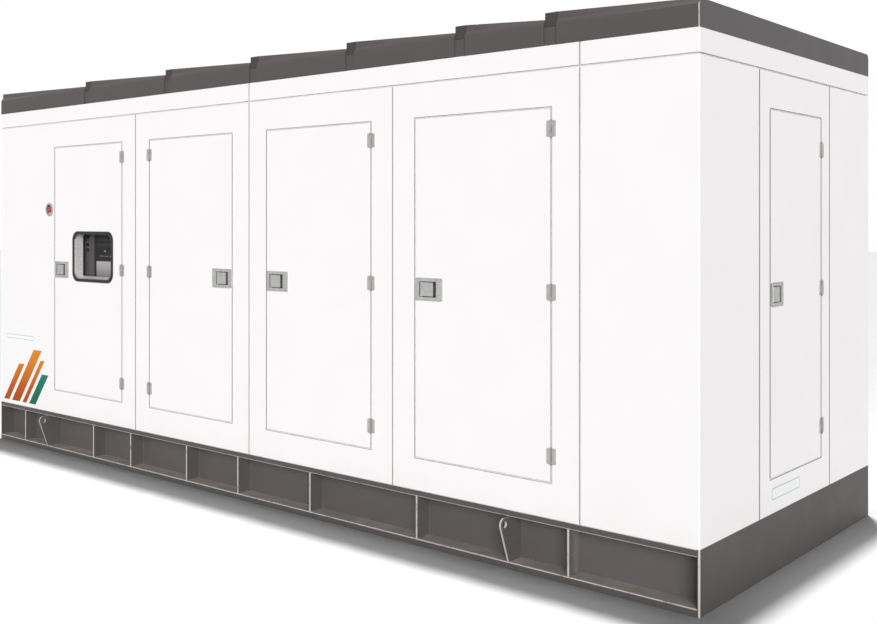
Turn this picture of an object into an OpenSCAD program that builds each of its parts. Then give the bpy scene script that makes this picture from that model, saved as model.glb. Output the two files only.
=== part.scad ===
// Silenced generator set in a walk-round canopy on a lifting base.
// Frame: origin at the centre of the footprint on the ground, +Z up,
// -Y is the side with the control door, +X is the end with the end door.
// On every wall x runs left to right as seen from outside, y runs inward from the outer face.

/* [Canopy] */
// Width over the side walls
width = 2300; // [2000:10:3000]
// Thickness of the lined walls
wall_t = 80; // [75:1:110]
// Height of the wall panels, from the base up to the band
panel_h = 2307; // [2150:5:2900]
// Height of the band between the panels and the roof
band_h = 125; // [60:1:200]
// Width of a joint line between two panels
seam_w = 8; // [4:1:12]
// Depth of a joint line between two panels
seam_d = 12; // [4:1:20]

/* [Bays] */
// Width of one door bay
bay_w = 1278; // [1150:1:1600]
// Door bays on each side
bay_count = 4; // [4]
// Plain strip at the right of the last door bay
strip_w = 655; // [300:5:900]
// Extra width of the first bay, beside the control door
control_extra_w = 683; // [400:1:900]
// Width of the centre panel of an end wall
end_panel_w = 970; // [900:5:1200]

/* [Roof] */
// Height of the roof's edge from the band to the top of its bevel
fascia_h = 138; // [90:1:200]
// Relative lengths of the roof sections, from the left
roof_shares = [1270, 1030, 930, 890, 850, 600, 880];
// Rise of each roof section towards its left end
roof_rise = 35; // [10:1:70]
// Height of the bevel along the roof's edge
bevel_h = 28; // [5:1:50]
// Depth of the bevel along the roof's edge
bevel_d = 18; // [5:1:50]
// Thickness of the roof's edge
skirt_t = 60; // [30:1:80]
// Thickness of the roof deck
roof_t = 40; // [10:1:70]
// Width of a joint strip between two roof sections
joint_w = 80; // [40:1:110]
// Setback of a joint strip behind the roof's edge
joint_setback = 14; // [4:1:16]

/* [Base] */
// Height of the base frame
base_h = 315; // [280:1:400]
// Thickness of the bottom flange of the side rails
foot_flange_t = 38; // [15:1:60]
// Thickness of the top flange of the side rails
head_flange_t = 36; // [12:1:60]
// Setback of a rail's web behind its flanges
web_setback = 110; // [85:1:130]
// Thickness of the rail webs
web_t = 12; // [8:1:20]
// Rib places along a rail, as shares of its length from the right end
rib_shares = [0.113, 0.272, 0.409, 0.517, 0.603, 0.707, 0.783, 0.939];
// Thickness of the rail ribs
rib_t = 12; // [6:1:20]
// Setback of a rib's edge behind the flanges
rib_setback = 6; // [0:1:40]
// Thickness of the end plates of the base
end_plate_t = 15; // [10:1:25]
// Width of the flanges behind the end plates
end_flange_w = 90; // [60:1:120]
// Thickness of the flanges behind the end plates
end_flange_t = 12; // [8:1:20]
// Number of cross members under the deck
cross_count = 6; // [3:1:9]
// Depth of a cross member
cross_h = 180; // [120:5:220]
// Width of a cross member
cross_w = 100; // [60:5:140]
// Thickness of a cross member's web and flanges
cross_t = 10; // [8:1:14]
// Thickness of the deck plate
deck_t = 8; // [4:1:15]

/* [Lifting lugs] */
// Distance of the lugs on the right from the right end
lug_right_x = 1104; // [1000:1:1150]
// Distance of the lugs on the left from the left end
lug_left_x = 745; // [500:1:900]
// Thickness of a lug plate
lug_t = 12; // [10:1:40]
// Reach of a lug beyond the side of the base
lug_reach = 71; // [60:1:100]
// Radius of the lug eye
lug_r = 34; // [30:1:50]
// Radius of the lifting hole
lug_hole_r = 18; // [12:1:22]
// Gap between a lug and the flange over it
lug_gap = 2; // [0.5:0.5:10]

/* [Doors] */
// Width of a side door
door_w = 925; // [800:5:1000]
// Width of an end door
end_door_w = 700; // [600:5:760]
// Height of the doors
door_h = 1922; // [1700:2:1950]
// Height of the doors above the base
door_sill_h = 187; // [120:1:250]
// Thickness of the doors
door_t = 50; // [45:1:55]
// Gap all round a door
door_gap = 8; // [8:1:12]
// Width of the stop behind a door's edge
stop_w = 25; // [20:1:40]
// Gap between a shut door and its stop
stop_gap = 6; // [5:1:8]

/* [Hinges] */
// Height of a hinge leaf
leaf_h = 84; // [60:1:120]
// Width of a hinge leaf from the pin
leaf_w = 29; // [24:1:40]
// Thickness of a hinge leaf
leaf_t = 4; // [3:1:5]
// Corner radius of a hinge leaf
leaf_r = 8; // [3:1:10]
// Height of the knuckles
knuckle_h = 92; // [70:1:130]
// Radius of the knuckles
knuckle_r = 5; // [4.5:0.5:8]
// Radius of the hinge pin
pin_r = 2.5; // [2:0.5:4]
// Clearance round the hinge pin and between knuckles
hinge_play = 0.5; // [0.2:0.1:1]
// Distance of a side door's top hinge below the door's top
hinge_top = 105; // [80:1:200]
// Distance of a side door's bottom hinge above the door's foot
hinge_foot = 133; // [80:1:200]
// Distance of an end door's outer hinges from the door's top and foot
end_hinge_inset = 176; // [80:1:250]

/* [Latches] */
// Width of a side door's latch plate
latch_w = 195; // [170:1:210]
// Width of the opening in a side door's latch plate
latch_opening_w = 125; // [110:1:140]
// Width of an end door's latch plate
end_latch_w = 145; // [130:1:200]
// Width of the opening in an end door's latch plate
end_latch_opening_w = 103; // [90:1:130]
// Height of a latch plate
latch_h = 128; // [120:1:150]
// Thickness of a latch plate
latch_t = 8; // [3:1:10]
// Distance of a latch plate from the door's edge
latch_inset = 5; // [2:1:40]
// Height of the latch centre above the door's foot
latch_z = 957; // [800:1:1100]
// Corner radius of a latch plate
latch_r = 9; // [3:1:12]
// Width of the rim over and under a latch plate's opening
latch_rim = 20; // [14:1:24]
// Difference between a latch plate's rim on the hinge side and its rim at the door's edge
rim_shift = 14; // [0:1:20]
// Depth of the latch tray behind the door's face
tray_d = 30; // [26:1:34]
// Thickness of the latch tray
tray_t = 3; // [2:1:4]
// Clearance between the tray and the door
tray_play = 1; // [0.5:0.5:2]
// Width of the finger gap beside the paddle
finger_w = 22; // [18:1:30]
// Thickness of the paddle
paddle_t = 4; // [3:1:5]
// Gap round the paddle
paddle_gap = 5; // [5:0.5:7]
// Radius of the paddle's pivot pin
paddle_pin_r = 2.5; // [2:0.5:3]
// Radius of the paddle's barrel
paddle_barrel_r = 5.5; // [5:0.5:6]

/* [Window] */
// Distance of the window from the latch plate beside it
window_latch_gap = 60.5; // [40:0.5:100]
// Distance of the window from the door's edge at the hinges
window_hinge_gap = 112.5; // [60:0.5:150]
// Height of the window over its gasket
window_h = 390; // [300:2:450]
// Height of the window's centre above the door's foot
window_z = 1066; // [900:1:1200]
// Corner radius of the window gasket
window_r = 45; // [35:1:60]
// Width of the gasket's face
gasket_w = 24; // [20:1:30]
// Depth of the gasket's lip over the door's face
gasket_lip = 14; // [8:1:16]
// Projection of the gasket from the door
gasket_t = 5; // [3:1:8]
// Depth of the gasket in the door
gasket_d = 20; // [18:1:30]
// Thickness of the window pane
pane_t = 6; // [4:1:10]
// Depth of the pane behind the door's face
pane_d = 8; // [2:1:8]
// Thickness of the lining round the window
lining_t = 3; // [2:1:6]
// Depth of the lining's back edge behind the door's face
lining_d = 74; // [60:1:85]
// Rise of the lining's sill towards its back edge
sill_rise = 16; // [4:1:30]

/* [Controls] */
// Distance from the instrument panel's side to the cabinet's side
cabinet_margin = 49; // [20:1:100]
// Depth of the control cabinet
cabinet_d = 280; // [200:5:400]
// Height of the control cabinet above the deck
cabinet_h = 1560; // [1500:5:1700]
// Distance of the cabinet's front behind the outer face of the wall
cabinet_setback = 120; // [110:1:200]
// Distance from the window's edge to the instrument panel's edge, all round
instrument_margin = 25; // [10:1:40]
// Thickness of the instrument panel
instrument_t = 12; // [8:1:15]
// Radius of the emergency stop's collar
stop_collar_r = 54; // [50:1:60]
// Projection of the emergency stop's collar
stop_collar_t = 9; // [5:1:12]
// Inner radius of the cup round the button
cup_r = 38; // [35:1:40]
// Depth of the cup behind the wall's face
cup_d = 20; // [16:1:30]
// Thickness of the cup
cup_t = 3; // [2:1:4]
// Clearance between the cup and the wall
cup_play = 1; // [0.5:0.5:2]
// Radius of the emergency stop's button
button_r = 21; // [18:1:25]
// Projection of the button's crown from the collar
button_crown = 3; // [1:1:8]
// Thickness of the emergency stop's button
button_t = 15; // [14:1:18]
// Radius of the button's stem
stem_r = 10; // [8:1:12]
// Room for the stem behind the cup
stem_room = 10; // [8:1:16]
// Travel of the emergency stop's button
button_travel = 5; // [3:1:6]
// Clearance round the button's stem
stem_play = 0.5; // [0.3:0.1:1]
// Distance of the emergency stop from the control door's edge
estop_gap = 70; // [60:1:150]
// Height of the emergency stop above the ground
estop_z = 1935; // [1600:5:2100]

/* [Hidden] */
$fn = 48;

cut = 1;
stop_edge = 3;
button_edge = 5;
length = strip_w + bay_count * bay_w + control_extra_w;
half_l = length / 2;
half_w = width / 2;
band_z = base_h + panel_h;
eave_z = band_z + band_h;
roof_z = eave_z + fascia_h;
deck_z = roof_z - roof_t;

lug_hole_z = base_h - head_flange_t - lug_gap - lug_r;

door_z = base_h + door_sill_h;
pin_out = knuckle_r + hinge_play;
middle_knuckle_h = knuckle_h / 3;

seam_xs = [for (i = [0 : bay_count - 1]) half_l - strip_w - i * bay_w];
side_hinges = [hinge_foot, door_h - hinge_top];
end_hinges = [end_hinge_inset, door_h - end_hinge_inset];
// Widths of a latch plate and of its opening
side_latch = [latch_w, latch_opening_w];
end_latch = [end_latch_w, end_latch_opening_w];
// Each door is [centre, width, hinge side, latch's widths, outer hinges' heights],
// with 1 for hinges on the right and -1 on the left
control_place = [seam_xs[3] - bay_w / 2, door_w, 1, side_latch, side_hinges];
service_1_place = [seam_xs[2] - bay_w / 2, door_w, -1, side_latch, side_hinges];
service_2_place = [seam_xs[1] - bay_w / 2, door_w, 1, side_latch, side_hinges];
service_3_place = [seam_xs[0] - bay_w / 2, door_w, 1, side_latch, side_hinges];
end_place = [0, end_door_w, 1, end_latch, end_hinges];
front_places = [control_place, service_1_place, service_2_place, service_3_place];
rear_places = [for (i = [bay_count - 1 : -1 : 0]) mirrored(front_places[i])];
left_place = mirrored(end_place);

// The window takes the width that the latch plate and the gaps beside it leave
window_w = door_w - latch_inset - latch_w - window_latch_gap - window_hinge_gap;
window_x = control_place[2] * (door_w / 2 - window_hinge_gap - window_w / 2);
instrument_w = window_w + 2 * instrument_margin;
instrument_h = window_h + 2 * instrument_margin;
cabinet_w = instrument_w + 2 * cabinet_margin;

// Height of a latch plate's opening, which is the inside of its tray
tray_h = latch_h - 2 * latch_rim;
// The paddle's pin, from the left side of the tray and from the door's face
paddle_pin_x = paddle_gap + paddle_barrel_r;
paddle_pin_y = paddle_barrel_r - latch_t + hinge_play;

walls = ["front", "right", "rear", "left"];
white = "#fbfbfa";
end_white = "#f1eded";
dark = "#5f5b58";
metal = "#b6b6b6";

function mirrored(place) = [-place[0], place[1], -place[2], place[3], place[4]];

function sum(list, count) = count == 0 ? 0 : list[count - 1] + sum(list, count - 1);

// Left edge of roof section i, counted from 0; i = 7 gives the right end
function section_x(i) =
    -half_l + length * sum(roof_shares, i) / sum(roof_shares, len(roof_shares));

// Clear width of the hole that a door hangs in, as its left and right edges
function hole_x(place) = [
    place[0] - place[1] / 2 - door_gap,
    place[0] + place[1] / 2 + door_gap
];

// Places a wall's own frame on the canopy
module on_wall(wall) {
    turn = 90 * search([wall], walls)[0];
    reach = wall == "front" || wall == "rear" ? half_w : half_l;
    rotate([0, 0, turn])
        translate([0, -reach, 0])
            children();
}

// Box given by its low and high corners
module block(low, high) {
    translate(low)
        cube(high - low);
}

// Upright plate with rounded corners, centred on x and z, from y = 0 inward
module rounded_plate(w, h, t, r) {
    rotate([90, 0, 0])
        translate([0, 0, -t])
            linear_extrude(t) {
                square([w - 2 * r, h], center = true);
                square([w, h - 2 * r], center = true);
                for (sx = [-1, 1], sy = [-1, 1])
                    translate([sx * (w / 2 - r), sy * (h / 2 - r)])
                        circle(r);
            }
}

/* ---------- Base ---------- */

// Side rail: outward-facing channel with ribs between its flanges
module rail() {
    rail_half = half_l - end_plate_t;
    back = web_setback + web_t;
    block([-rail_half, 0, 0], [rail_half, back, foot_flange_t]);
    block([-rail_half, 0, base_h - head_flange_t], [rail_half, back, base_h]);
    block([-rail_half, web_setback, 0], [rail_half, back, base_h]);
    for (share = rib_shares)
        translate([half_l - share * length - rib_t / 2, rib_setback, cut])
            cube([rib_t, web_setback - rib_setback + cut, base_h - 2 * cut]);
}

module front_rail() {
    color(dark) on_wall("front") rail();
}

module rear_rail() {
    color(dark) on_wall("rear") mirror([1, 0, 0]) rail();
}

// End plate across the base, with flanges behind it between the rails
module end_beam() {
    inner = half_w - web_setback - web_t;
    block([-half_w, 0, 0], [half_w, end_plate_t, base_h]);
    for (z = [0, base_h - end_flange_t])
        block([-inner, 0, z], [inner, end_flange_w, z + end_flange_t]);
}

module end_beams() {
    color(dark) {
        on_wall("right") end_beam();
        on_wall("left") end_beam();
    }
}

// I-section beams from rail to rail, flush with the top of the base
module cross_members() {
    inner = half_w - web_setback - web_t;
    pitch = length / cross_count;
    color(dark)
        for (i = [0 : cross_count - 1])
            translate([-half_l + (i + 0.5) * pitch, inner, base_h - cross_h])
                rotate([90, 0, 0])
                    linear_extrude(2 * inner) {
                        translate([-cross_t / 2, 0])
                            square([cross_t, cross_h]);
                        for (z = [0, cross_h - cross_t])
                            translate([-cross_w / 2, z])
                                square([cross_w, cross_t]);
                    }
}

// Floor plate between the walls
module deck() {
    color(dark)
        block(
            [-half_l + wall_t, -half_w + wall_t, base_h],
            [half_l - wall_t, half_w - wall_t, base_h + deck_t]
        );
}

// Point where the line from p touches a circle at c, on the side away from the base
function tangent_point(p, c, r) =
    let (d = c - p, span = norm(d), run = sqrt(span * span - r * r))
    let (aim = atan2(d[1], d[0]) + (asin(r / span)))
    p + run * [cos(aim), sin(aim)];

// Lug plate, standing out from the rail's web through the line of the flanges
module lug() {
    eye = [lug_r - lug_reach, lug_hole_z];
    // Mirrored outline: y outward is negative, so the tangent turns the same way as the eye
    touch = tangent_point([0, foot_flange_t], eye, lug_r);
    rotate([90, 0, 90])
        translate([0, 0, -lug_t / 2])
            difference() {
                linear_extrude(lug_t) {
                    polygon([
                        [web_setback, foot_flange_t],
                        [web_setback, lug_hole_z + lug_r],
                        [eye[0], lug_hole_z + lug_r],
                        eye,
                        touch,
                        [0, foot_flange_t],
                    ]);
                    translate(eye)
                        circle(lug_r);
                }
                translate([eye[0], eye[1], -cut])
                    cylinder(r = lug_hole_r, h = lug_t + 2 * cut);
            }
}

module lug_pair() {
    for (x = [-half_l + lug_left_x, half_l - lug_right_x])
        translate([x, 0, 0])
            lug();
}

module lifting_lugs() {
    color(dark) {
        on_wall("front") lug_pair();
        on_wall("rear") mirror([1, 0, 0]) lug_pair();
    }
}

/* ---------- Walls ---------- */

// Joint lines cut into the face of a wall
module seams(xs, low, high) {
    for (x = xs)
        translate([x - seam_w / 2, -cut, low])
            cube([seam_w, seam_d + cut, high - low]);
}

// Wall between and beside the doors, full height, with a stop behind each door's edge
module posts(left, right, places, joints) {
    count = len(places);
    for (i = [0 : count]) {
        x0 = i == 0 ? left : hole_x(places[i - 1])[1];
        x1 = i == count ? right : hole_x(places[i])[0];
        difference() {
            union() {
                block([x0, 0, base_h], [x1, wall_t, band_z]);
                block(
                    [i == 0 ? x0 : x0 - stop_w, door_t + stop_gap, door_z - door_gap],
                    [i == count ? x1 : x1 + stop_w, wall_t, door_z + door_h + door_gap]
                );
            }
            seams(joints, base_h - cut, band_z + cut);
        }
    }
}

// Wall over each door
module headers(places) {
    top = door_z + door_h + door_gap;
    for (place = places) {
        x = hole_x(place);
        block([x[0], 0, top], [x[1], wall_t, band_z]);
        block([x[0] + stop_w, door_t + stop_gap, top - stop_w], [x[1] - stop_w, wall_t, top + cut]);
    }
}

// Wall under each door
module sills(places) {
    foot = door_z - door_gap;
    for (place = places) {
        x = hole_x(place);
        block([x[0], 0, base_h], [x[1], wall_t, foot]);
        block([x[0] + stop_w, door_t + stop_gap, foot - cut], [x[1] - stop_w, wall_t, foot + stop_w]);
    }
}

// Side wall's posts, bored for the cup of the emergency stop
module front_posts() {
    color(white)
        difference() {
            on_wall("front") posts(-half_l, half_l, front_places, seam_xs);
            at_stop() stop_bore();
        }
}

module front_headers() {
    color(white) on_wall("front") headers(front_places);
}

module front_sills() {
    color(white) on_wall("front") sills(front_places);
}

module rear_posts() {
    color(white) on_wall("rear") posts(-half_l, half_l, rear_places, -seam_xs);
}

module rear_headers() {
    color(white) on_wall("rear") headers(rear_places);
}

module rear_sills() {
    color(white) on_wall("rear") sills(rear_places);
}

module end_wall_posts(place) {
    inner = half_w - wall_t;
    posts(-inner, inner, [place], [-end_panel_w / 2, end_panel_w / 2]);
}

module end_posts() {
    color(end_white) {
        on_wall("right") end_wall_posts(end_place);
        on_wall("left") end_wall_posts(left_place);
    }
}

module end_headers() {
    color(end_white) {
        on_wall("right") headers([end_place]);
        on_wall("left") headers([left_place]);
    }
}

module end_sills() {
    color(end_white) {
        on_wall("right") sills([end_place]);
        on_wall("left") sills([left_place]);
    }
}

// Band over the panels, with the level joint line along its foot
module band(half, joints) {
    difference() {
        block([-half, 0, band_z], [half, wall_t, eave_z]);
        block([-half - cut, -cut, band_z - cut], [half + cut, seam_d, band_z + seam_w]);
        seams(joints, band_z - cut, eave_z + cut);
        if (half == half_l)
            for (side = [-1, 1])
                block(
                    [side * half - seam_d, -cut, band_z - cut],
                    [side * half + seam_d, wall_t + cut, band_z + seam_w]
                );
    }
}

module side_bands() {
    color(white) {
        on_wall("front") band(half_l, [seam_xs[0], seam_xs[2]]);
        on_wall("rear") band(half_l, [-seam_xs[0], -seam_xs[2]]);
    }
}

module end_bands() {
    color(end_white) {
        on_wall("right") band(half_w - wall_t, []);
        on_wall("left") band(half_w - wall_t, []);
    }
}

/* ---------- Roof ---------- */

// Stretch of a cross-section along the canopy
module along(x0, x1) {
    translate([x0, 0, 0])
        rotate([90, 0, 90])
            linear_extrude(x1 - x0)
                children();
}

// Cross-section of the roof deck, with a bevel along both edges
module roof_outline(setback, top) {
    side = half_w - setback;
    polygon([
        [-side, deck_z],
        [-side, top - bevel_h],
        [-side + bevel_d, top],
        [side - bevel_d, top],
        [side, top - bevel_h],
        [side, deck_z],
    ]);
}

// Top sheet of a section, highest at its left end
module rising_sheet(x0, x1) {
    side = half_w - bevel_d;
    translate([0, side, 0])
        rotate([90, 0, 0])
            linear_extrude(2 * side)
                polygon([
                    [x0, deck_z + cut],
                    [x0, roof_z + roof_rise],
                    [x1, roof_z],
                    [x1, deck_z + cut],
                ]);
}

module roof_sections() {
    color(dark)
        for (i = [0 : len(roof_shares) - 1]) {
            x0 = section_x(i) + (i == 0 ? 0 : joint_w);
            x1 = section_x(i + 1);
            along(x0, x1) roof_outline(0, roof_z);
            rising_sheet(x0, x1);
        }
}

// Strips that close the joints between sections, with a sill as high as the next sheet
module roof_joints() {
    side = half_w - bevel_d;
    color(dark)
        for (i = [1 : len(roof_shares) - 1]) {
            x = section_x(i);
            along(x, x + joint_w) roof_outline(joint_setback, roof_z);
            block([x, -side, deck_z + cut], [x + joint_w, side, roof_z + roof_rise]);
        }
}

// Board under the roof's edge, set back where a joint strip crosses it
module side_fascia() {
    difference() {
        block([-half_l, 0, eave_z], [half_l, skirt_t, deck_z]);
        for (i = [1 : len(roof_shares) - 1])
            translate([section_x(i), -cut, eave_z - cut])
                cube([joint_w, joint_setback + cut, deck_z - eave_z + 2 * cut]);
    }
}

module side_fascias() {
    color(dark) {
        on_wall("front") side_fascia();
        on_wall("rear") mirror([1, 0, 0]) side_fascia();
    }
}

module end_fascias() {
    inner = half_w - skirt_t;
    color(dark)
        for (wall = ["right", "left"])
            on_wall(wall)
                block([-inner, 0, eave_z], [inner, skirt_t, deck_z]);
}

/* ---------- Doors ---------- */

// Width of a latch plate's opening, which is the inside of its tray
function tray_w(place) = place[3][1];

// Centre of a door's latch plate, from the door's centre
function plate_x(place) = -place[2] * (place[1] / 2 - latch_inset - place[3][0] / 2);

// Left side of the inside of a latch tray, from the door's centre
function tray_x(place) = plate_x(place) - (tray_w(place) + place[2] * rim_shift) / 2;

// Places a child at a door's centre line, with z measured from its foot
module at_door(place) {
    translate([place[0], 0, door_z])
        children();
}

// Door leaf with the pocket for its latch tray
module leaf(place) {
    edge = tray_t + tray_play;
    half_h = tray_h / 2 + edge;
    at_door(place)
        difference() {
            block([-place[1] / 2, 0, 0], [place[1] / 2, door_t, door_h]);
            translate([tray_x(place), 0, latch_z])
                block([-edge, -cut, -half_h], [tray_w(place) + edge, tray_d + tray_play, half_h]);
        }
}

// Half of a hinge on one side of its pin: leaf plate with its own knuckles.
// side is 1 for the leaf to the right of the pin; outer is true for the outer knuckles
module hinge_half(side, outer) {
    mid = middle_knuckle_h / 2;
    half = knuckle_h / 2;
    clear = knuckle_r + 3 * hinge_play;
    spans = outer ? [[-half, -mid - hinge_play], [mid + hinge_play, half]] : [[-mid, mid]];
    plate_w = leaf_w - clear;
    translate([side * (clear + plate_w / 2), -leaf_t, 0])
        rounded_plate(plate_w, leaf_h, leaf_t, leaf_r);
    translate([side > 0 ? clear : -leaf_w + leaf_r, -leaf_t, -leaf_h / 2])
        cube([plate_w - leaf_r, leaf_t, leaf_h]);
    for (span = spans) {
        low = max(span[0], -leaf_h / 2);
        high = min(span[1], leaf_h / 2);
        translate([side > 0 ? 0 : -clear - cut, -leaf_t, low])
            cube([clear + cut, leaf_t - hinge_play, high - low]);
        translate([0, -pin_out, span[0]])
            cylinder(r = knuckle_r, h = span[1] - span[0]);
    }
}

// Places a child at each hinge pin of a door
module at_hinges(place) {
    pin_x = place[2] * (place[1] + door_gap) / 2;
    at_door(place)
        for (z = [place[4][0], (place[4][0] + place[4][1]) / 2, place[4][1]])
            translate([pin_x, 0, z])
                children();
}

// Leaves on the door, bored for their pins
module door_leaves(place) {
    at_hinges(place)
        difference() {
            hinge_half(-place[2], false);
            translate([0, -pin_out, -knuckle_h])
                cylinder(r = pin_r + hinge_play, h = 2 * knuckle_h);
        }
}

// Leaves on the wall, with the pins
module wall_leaves(place) {
    at_hinges(place) {
        hinge_half(place[2], true);
        translate([0, -pin_out, -knuckle_h / 2])
            cylinder(r = pin_r, h = knuckle_h);
    }
}

// Places a child at the left of a latch tray's inside, at the latch's height
module at_latch(place) {
    at_door(place)
        translate([tray_x(place), 0, latch_z])
            children();
}

// Latch plate with its recessed tray and the paddle's pin
module latch_tray(place) {
    half_h = tray_h / 2 + tray_t;
    at_latch(place) {
        difference() {
            union() {
                translate([plate_x(place) - tray_x(place), -latch_t, 0])
                    rounded_plate(place[3][0], latch_h, latch_t, latch_r);
                block([-tray_t, -cut, -half_h], [tray_w(place) + tray_t, tray_d, half_h]);
            }
            block([0, -latch_t - cut, -tray_h / 2], [tray_w(place), tray_d - tray_t, tray_h / 2]);
        }
        translate([paddle_pin_x, paddle_pin_y, -half_h + tray_t / 2])
            cylinder(r = paddle_pin_r, h = 2 * half_h - tray_t);
    }
}

// Paddle: a plate flush with the latch plate, on a barrel round its pin
module paddle(place) {
    paddle_h = tray_h - 2 * paddle_gap;
    grip_x = tray_w(place) - finger_w;
    at_latch(place)
        difference() {
            union() {
                block(
                    [paddle_pin_x, -latch_t, -paddle_h / 2],
                    [grip_x, -latch_t + paddle_t, paddle_h / 2]
                );
                block(
                    [grip_x - paddle_t, -latch_t, -paddle_h / 2],
                    [grip_x, tray_d / 3, paddle_h / 2]
                );
                translate([paddle_pin_x, paddle_pin_y, -paddle_h / 2])
                    cylinder(r = paddle_barrel_r, h = paddle_h);
            }
            translate([paddle_pin_x, paddle_pin_y, -tray_h])
                cylinder(r = paddle_pin_r + hinge_play, h = 2 * tray_h);
        }
}

// Everything of light metal that a door carries
module door_hardware(place) {
    door_leaves(place);
    latch_tray(place);
}

// Places a child at the window's centre
module at_window() {
    at_door(control_place)
        translate([window_x, 0, window_z])
            children();
}

module control_door() {
    hole_w = window_w - 2 * gasket_lip;
    hole_h = window_h - 2 * gasket_lip;
    color(white)
        on_wall("front")
            difference() {
                leaf(control_place);
                at_window()
                    translate([0, -cut, 0])
                        rounded_plate(hole_w, hole_h, door_t + 2 * cut, window_r - gasket_lip);
            }
}

module service_door_1() {
    color(white) on_wall("front") leaf(service_1_place);
}

module service_door_2() {
    color(white) on_wall("front") leaf(service_2_place);
}

module service_door_3() {
    color(white) on_wall("front") leaf(service_3_place);
}

module end_door() {
    color(end_white) on_wall("right") leaf(end_place);
}

module control_door_hardware() {
    color(metal) on_wall("front") door_hardware(control_place);
}

module service_door_1_hardware() {
    color(metal) on_wall("front") door_hardware(service_1_place);
}

module service_door_2_hardware() {
    color(metal) on_wall("front") door_hardware(service_2_place);
}

module service_door_3_hardware() {
    color(metal) on_wall("front") door_hardware(service_3_place);
}

module end_door_hardware() {
    color(metal) on_wall("right") door_hardware(end_place);
}

module control_door_paddle() {
    color(metal) on_wall("front") paddle(control_place);
}

module service_door_1_paddle() {
    color(metal) on_wall("front") paddle(service_1_place);
}

module service_door_2_paddle() {
    color(metal) on_wall("front") paddle(service_2_place);
}

module service_door_3_paddle() {
    color(metal) on_wall("front") paddle(service_3_place);
}

module end_door_paddle() {
    color(metal) on_wall("right") paddle(end_place);
}

// Wall halves of all the hinges
module hinge_leaves() {
    color(metal) {
        on_wall("front")
            for (place = front_places)
                wall_leaves(place);
        on_wall("right") wall_leaves(end_place);
        on_wall("rear")
            for (place = rear_places)
                wall_leaves(place);
        on_wall("left") wall_leaves(left_place);
    }
}

module fixed_doors() {
    color(white) {
        on_wall("rear")
            for (place = rear_places)
                leaf(place);
        on_wall("left") leaf(left_place);
    }
}

module fixed_door_hardware() {
    color(metal) {
        on_wall("rear")
            for (place = rear_places) {
                door_hardware(place);
                paddle(place);
            }
        on_wall("left") {
            door_hardware(left_place);
            paddle(left_place);
        }
    }
}

// Clear opening of the window, through its lining
module window_opening(depth) {
    rounded_plate(
        window_w - 2 * gasket_w, window_h - 2 * gasket_w, depth, window_r - gasket_w
    );
}

// Outside of the lining round the window
module lining_outside(depth) {
    rim = gasket_w - lining_t;
    rounded_plate(window_w - 2 * rim, window_h - 2 * rim, depth, window_r - rim);
}

// Gasket: a lip over the door's face and a sleeve between the door and the lining
module window_gasket() {
    hole_w = window_w - 2 * gasket_lip;
    hole_h = window_h - 2 * gasket_lip;
    color("#202020")
        on_wall("front")
            at_window()
                difference() {
                    union() {
                        translate([0, -gasket_t, 0])
                            rounded_plate(window_w, window_h, gasket_t, window_r);
                        translate([0, -cut, 0])
                            rounded_plate(hole_w, hole_h, gasket_d + cut, window_r - gasket_lip);
                    }
                    translate([0, -gasket_t - cut, 0])
                        window_opening(gasket_t + 2 * cut);
                    lining_outside(gasket_d + cut);
                }
}

// Metal lining from the gasket through the door to just before the instrument panel
module window_lining() {
    sill_w = window_w / 2;
    sill_z = gasket_w - window_h / 2;
    color(metal)
        on_wall("front")
            at_window() {
                difference() {
                    lining_outside(lining_d);
                    translate([0, -cut, 0])
                        window_opening(lining_d + 2 * cut);
                }
                intersection() {
                    window_opening(lining_d);
                    translate([-sill_w, 0, sill_z])
                        rotate([90, 0, 90])
                            linear_extrude(2 * sill_w)
                                polygon([
                                    [pane_d + pane_t, -lining_t],
                                    [pane_d + pane_t, 0],
                                    [lining_d, sill_rise],
                                    [lining_d, -lining_t],
                                ]);
                }
            }
}

module window_pane() {
    color("#9fb4bd", 0.35)
        on_wall("front")
            at_window()
                translate([0, pane_d, 0])
                    window_opening(pane_t);
}

/* ---------- Controls ---------- */

// Cabinet standing on the deck behind the control door's window
module control_cabinet() {
    x = control_place[0] + window_x;
    foot = base_h + deck_t;
    color("#8f9294")
        on_wall("front")
            block(
                [x - cabinet_w / 2, cabinet_setback, foot],
                [x + cabinet_w / 2, cabinet_setback + cabinet_d, foot + cabinet_h]
            );
}

// Instrument panel on the cabinet, level with the window
module instrument_panel() {
    color("#55585a")
        on_wall("front")
            at_window()
                translate([0, cabinet_setback - instrument_t, 0])
                    rounded_plate(instrument_w, instrument_h, instrument_t, instrument_t);
}

// Places a child at the emergency stop, with y = 0 on the wall's face
module at_stop() {
    on_wall("front")
        translate([hole_x(control_place)[0] - estop_gap, 0, estop_z])
            children();
}

// Round body from y = 0 outward, from a list of [radius, projection] points
module turned(points) {
    rotate([90, 0, 0])
        rotate_extrude()
            polygon(points);
}

// Bore in the wall for the cup and for the stem behind it
module stop_bore() {
    outer = cup_r + cup_t + cup_play;
    inner = stem_r + cup_play;
    turned([
        [0, -cup_d - stem_room],
        [inner, -cup_d - stem_room],
        [inner, -cup_d - cup_play],
        [outer, -cup_d - cup_play],
        [outer, cut],
        [0, cut],
    ]);
}

// Collar on the wall, with a cup sunk into it round the button
module emergency_stop_collar() {
    floor_y = cup_t - cup_d;
    color("#c9c9c6")
        at_stop()
            turned([
                [stem_r + stem_play, -cup_d],
                [cup_r + cup_t, -cup_d],
                [cup_r + cup_t, 0],
                [stop_collar_r, 0],
                [stop_collar_r, stop_collar_t - stop_edge],
                [stop_collar_r - stop_edge, stop_collar_t],
                [cup_r, stop_collar_t],
                [cup_r, floor_y],
                [stem_r + stem_play, floor_y],
            ]);
}

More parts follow.
